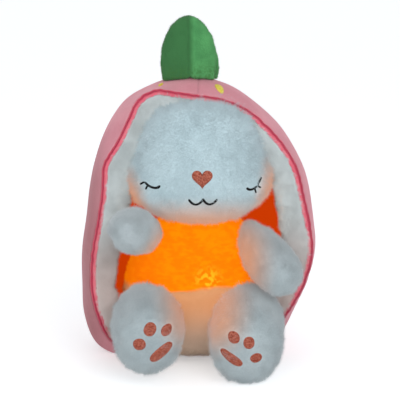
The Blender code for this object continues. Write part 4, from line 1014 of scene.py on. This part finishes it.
def sampleSkin(made, wanted, allow):
    mesh = made.data
    mesh.calc_loop_triangles()
    points, normals = np.empty(len(mesh.vertices) * 3), np.empty(len(mesh.vertices) * 3)
    mesh.vertices.foreach_get("co", points)
    mesh.vertices.foreach_get("normal", normals)
    points, normals = points.reshape(-1, 3), normals.reshape(-1, 3)
    corners = np.empty(len(mesh.loop_triangles) * 3, dtype=np.int32)
    mesh.loop_triangles.foreach_get("vertices", corners)
    corners = corners.reshape(-1, 3)
    middles = points[corners].mean(axis=1)
    facing = normals[corners].mean(axis=1)
    corners = corners[allow(middles, facing)]
    spans = points[corners]
    areas = np.linalg.norm(np.cross(spans[:, 1] - spans[:, 0], spans[:, 2] - spans[:, 0]), axis=1)
    chosen = corners[rng.choice(len(corners), wanted, p=areas / areas.sum())]
    shares = rng.random((wanted, 2))
    over = shares.sum(axis=1) > 1
    shares[over] = 1 - shares[over]
    weights = np.stack([1 - shares.sum(axis=1), shares[:, 0], shares[:, 1]], 1)[:, :, None]
    spots = (points[chosen] * weights).sum(axis=1)
    outs = (normals[chosen] * weights).sum(axis=1)
    return spots, outs / np.linalg.norm(outs, axis=1)[:, None]


def comb(spots, scale):  # a slow drift of the tufts' lean
    drift = [noise.noise_vector(Vector(spot) * scale) for spot in spots]
    return np.array(drift)


def pile(skin, label, wanted, length, thick, material, allow, sewn=(), lean=0.35, drop=0.2, clear=0.0006):
    spots, outs = sampleSkin(skin, wanted, allow)
    clumps = np.array([noise.noise(Vector(spot) * 150) for spot in spots])
    reach = length * (0.5 + 0.5 * rng.random(len(spots)) + 0.5 * clumps)
    if len(sewn):
        tree = kdtree.KDTree(len(sewn))
        for index, spot in enumerate(sewn):
            tree.insert(spot, index)
        tree.balance()
        near = np.array([tree.find(Vector(spot))[2] for spot in spots])
        reach *= 0.25 + 0.75 * ease(near, clear, 0.0045)
        keep = near > clear
        spots, outs, reach = spots[keep], outs[keep], reach[keep]
    count = len(spots)
    drift = comb(spots, 120.0) * 0.9 + rng.normal(size=(count, 3)) * lean
    drift[:, 2] -= drop
    way = outs + drift - outs * (drift * outs).sum(axis=1)[:, None] * 0.6
    way /= np.linalg.norm(way, axis=1)[:, None]
    first = np.cross(way, rng.normal(size=(count, 3)))
    first /= np.linalg.norm(first, axis=1)[:, None]
    second = np.cross(way, first)
    width = thick * (0.7 + 0.6 * rng.random(count))[:, None]
    roots = spots - outs * 0.0004
    thirds = 0, math.tau / 3, math.tau * 2 / 3
    corners = [roots + width * (first * math.cos(turn) + second * math.sin(turn)) for turn in thirds]
    tips = spots + way * reach[:, None]
    tips[:, 2] = np.maximum(tips[:, 2], 0.0006)  # bent over where it meets the floor
    points = np.stack([*corners, tips], 1).reshape(-1, 3)
    base = np.arange(count)[:, None] * 4
    sides = (0, 1, 3), (1, 2, 3), (2, 0, 3), (2, 1, 0)
    faces = np.concatenate([base + side for side in sides], 1).reshape(-1, 3)
    mesh = bpy.data.meshes.new(label)
    mesh.vertices.add(len(points))
    mesh.loops.add(len(faces) * 3)
    mesh.polygons.add(len(faces))
    mesh.vertices.foreach_set("co", points.ravel())
    mesh.loops.foreach_set("vertex_index", faces.ravel())
    mesh.polygons.foreach_set("loop_start", np.arange(len(faces)) * 3)
    mesh.polygons.foreach_set("use_smooth", np.ones(len(faces), dtype=bool))
    mesh.update(calc_edges=True)
    facing = outs * 0.75 + (0, -0.12, 0.26)  # light that scatters in the pile reaches its underside too
    soft = np.repeat(facing, 4, axis=0) + np.concatenate(
        [np.stack([c - roots for c in corners], 1) / width[:, :, None], np.zeros((count, 1, 3))], 1
    ).reshape(-1, 3) * 0.12
    soft /= np.linalg.norm(soft, axis=1)[:, None]
    mesh.normals_split_custom_set_from_vertices(soft)
    layer = mesh.uv_layers.new(name="OFBake")
    loopSpots = points[faces.ravel()]
    span = cadHigh[0] - cadLow[0], cadHigh[2] - cadLow[2]
    back = np.repeat(outs[:, 1] > 0, 12)
    flatX = (loopSpots[:, 0] - cadLow[0]) / span[0] * 0.48 + back * 0.5 + 0.01
    flatZ = (loopSpots[:, 2] - cadLow[2]) / span[1] * 0.96 + 0.02
    layer.data.foreach_set("uv", np.stack([flatX, flatZ], 1).ravel())
    mesh.materials.append(material)
    made = bpy.data.objects.new(label, mesh)
    made.visible_shadow = False  # fine pile lets light through, so it darkens nothing
    made.visible_diffuse = False
    bpy.context.scene.collection.objects.link(made)
    return made


def anywhere(points, normals):
    return np.ones(len(points), dtype=bool)


def mostlyFront(points, normals):
    return (normals[:, 1] < 0.3) | (rng.random(len(points)) < 0.4)


def frontOnly(points, normals):
    return (points[:, 1] < 0.02) & (normals[:, 1] < 0.5)


piles = {  # tufts, their length and half width, and where they grow
    "torso": (42000, 0.0034, 0.00022, frontOnly),
    "head": (49500, 0.0070, 0.00025, mostlyFront),
    "ear_left": (32000, 0.0058, 0.00024, anywhere),
    "ear_right": (32000, 0.0058, 0.00024, anywhere),
    "arm_left": (34000, 0.0060, 0.00024, anywhere),
    "arm_right": (38000, 0.0060, 0.00024, anywhere),
    "leg_left": (48000, 0.0068, 0.00024, anywhere),
    "leg_right": (48000, 0.0068, 0.00024, anywhere),
    "leaf_front": (24000, 0.0014, 0.00018, anywhere),
    "leaf_back": (18000, 0.0014, 0.00018, anywhere),
}
for name, (wanted, length, thick, allow) in piles.items():
    material = stuffed[name][0]
    tufts = pile(skins[name], f"{name}_pile", wanted, length, thick, material, allow, sewnSpots[name])
    rideWith(tufts, name)
    "green_plush" if "leaf" in name else "white_plush"
print("pile grown on the rabbit and leaves")


def aboveBase(points, normals):
    return points[:, 2] > 0.014


def liningFront(points, normals):
    inward = (normals * (np.array((0, 0.02, shell["middleZ"])) - points)).sum(axis=1) > 0
    return inward & (points[:, 1] < 0.045)


liningPile = {  # tufts, their length and half width; then how they lean and droop
    "border": (49500, 0.0058, 0.00024),
    "inside": (36000, 0.0036, 0.00026),
    "lean": 0.4,
    "drop": 0.1,
}
for side, word in ((-1, "left"), (1, "right")):
    roll = borderRoll(f"lining_border_{word}", side)
    lay = (), liningPile["lean"], liningPile["drop"]
    fluff = pile(roll, f"lining_border_{word}_pile", *liningPile["border"], fleece, aboveBase, *lay)
    inside = shellPieces[word][1]
    tufts = pile(inside, f"lining_{word}_pile", *liningPile["inside"], fleece, liningFront, *lay)
    for part in (roll, fluff, tufts):
        bendWith(part, side)
print("pile grown on the lining")


# Lamp module, cells and slider keep their solids

caseWhite = moulded("caseWhite", tone(222, 221, 214), tone(236, 235, 229), 0.38)
domeClear = moulded("domeClear", tone(240, 206, 158), tone(250, 224, 184), 0.2)
boardGreen = moulded("boardGreen", tone(26, 98, 54), tone(36, 118, 64), 0.42)
ledAmber = moulded("ledAmber", tone(250, 168, 60), tone(255, 190, 90), 0.18)
switchBlack = moulded("switchBlack", tone(28, 28, 30), tone(44, 44, 46), 0.42)
cellSleeve = moulded("cellSleeve", tone(36, 52, 102), tone(52, 70, 126), 0.3)
brightSteel = moulded("brightSteel", tone(168, 170, 170), tone(196, 198, 198), 0.26, 1.0)
redWire = moulded("redWire", tone(156, 24, 20), tone(182, 36, 28), 0.42)
zipMetal = moulded("zipMetal", tone(150, 40, 66), tone(176, 58, 84), 0.32, 0.7)
finishes = {
    caseWhite: ("lamp_case", "lamp_bezel", "battery_door"),
    domeClear: ("press_dome",),
    boardGreen: ("led_board",),
    ledAmber: ("led_1", "led_2", "led_3", "led_4"),
    switchBlack: ("switch_body", "switch_plunger"),
    cellSleeve: ("cell_1", "cell_2", "cell_3"),
    brightSteel: ("contact_left", "contact_right", "door_screw"),
    redWire: ("battery_lead",),
    zipMetal: ("zip_slider", "zip_pull"),
}
for material, names in finishes.items():
    for name in names:
        nodes[name].data.materials.clear()
        nodes[name].data.materials.append(material)


# Floor, light and camera

studio = {
    "floorSize": 12.0,
    "floorGlare": 0.40,
    "skyColour": (0.92, 0.96, 1.0, 1.0),
    "skyStrength": 0.70,
    "lights": {"key": ((0.45, -1.1, 0.95), 1.1, 6.5), "fill": ((-0.7, -1.2, 0.35), 1.2, 5.0)},
    "lightsAim": (0, 0, 0.12),
    "lightColour": (0.93, 0.97, 1.0),
    "cameraTurn": math.radians(-4),
    "cameraRise": math.radians(14),
    "cameraDistance": 1.5,
    "lens": 150.0,
    "aim": Vector((0.0, 0.0, 0.128)),
    "aimUp": 0.0153,
    "aimRight": 0.0018,
}


def shownPale(material, under, kind, strength, added):  # paler to the camera and in reflections only
    tree = material.node_tree
    path = tree.nodes.new("ShaderNodeLightPath")
    glare = tree.nodes.new(kind)
    glare.inputs["Color"].default_value = (1, 1, 1, 1)
    glare.inputs["Strength"].default_value = strength
    seen = path.outputs["Is Camera Ray"]
    for ray in ("Is Glossy Ray", "Is Transmission Ray"):
        either = tree.nodes.new("ShaderNodeMath")
        either.operation = "MAXIMUM"
        tree.links.new(seen, either.inputs[0])
        tree.links.new(path.outputs[ray], either.inputs[1])
        seen = either.outputs[0]
    bright = glare.outputs[0]
    if added:  # on top of the lit floor, so that the shadow stays
        both = tree.nodes.new("ShaderNodeAddShader")
        tree.links.new(under.outputs[0], both.inputs[0])
        tree.links.new(bright, both.inputs[1])
        bright = both.outputs[0]
    mix = tree.nodes.new("ShaderNodeMixShader")
    tree.links.new(seen, mix.inputs[0])
    tree.links.new(under.outputs[0], mix.inputs[1])
    tree.links.new(bright, mix.inputs[2])
    return mix


floorFinish = Finish("floorPale", {"Base Color": tone(236, 236, 236), "Roughness": 0.9})
half = studio["floorSize"] / 2
corners = (-half, -half, 0), (half, -half, 0), (half, half, 0), (-half, half, 0)
floor = putMesh("floor", corners, [(0, 1, 2, 3)], floorFinish.material)
mixed = shownPale(floorFinish.material, floorFinish.shader, "ShaderNodeEmission", studio["floorGlare"], True)
outlet = floorFinish.tree.nodes["Material Output"]
floorFinish.tree.links.new(mixed.outputs[0], outlet.inputs["Surface"])

world = bpy.data.worlds.new("studio")
bpy.context.scene.world = world
world.use_nodes = True
sky = world.node_tree.nodes["Background"]
sky.inputs["Color"].default_value = studio["skyColour"]
sky.inputs["Strength"].default_value = studio["skyStrength"]
mixed = shownPale(world, sky, "ShaderNodeBackground", 1.0, False)
world.node_tree.links.new(mixed.outputs[0], world.node_tree.nodes["World Output"].inputs["Surface"])


def softLight(name, place, aim, size, watts, colour):
    data = bpy.data.lights.new(name, "AREA")
    data.shape = "DISK"
    data.size = size
    data.energy = watts
    data.color = colour
    made = bpy.data.objects.new(name, data)
    made.location = place
    made.rotation_euler = (Vector(aim) - Vector(place)).to_track_quat("-Z", "Y").to_euler()
    bpy.context.scene.collection.objects.link(made)
    return made


for name, (place, size, watts) in studio["lights"].items():
    softLight(name, place, studio["lightsAim"], size, watts, studio["lightColour"])

turn, rise, distance = studio["cameraTurn"], studio["cameraRise"], studio["cameraDistance"]
back = Vector((math.sin(turn) * math.cos(rise), -math.cos(turn) * math.cos(rise), math.sin(rise)))
right = Vector((0, 0, 1)).cross(back).normalized()
upward = back.cross(right)
target = studio["aim"] + upward * studio["aimUp"] + right * studio["aimRight"]
lens = bpy.data.cameras.new("camera")
lens.lens = studio["lens"]
camera = bpy.data.objects.new("camera", lens)
camera.location = target + back * distance
camera.rotation_euler = (-back).to_track_quat("-Z", "Y").to_euler()
bpy.context.scene.collection.objects.link(camera)
bpy.context.scene.camera = camera
bpy.context.scene.view_settings.view_transform = "Standard"
print("lit and framed")
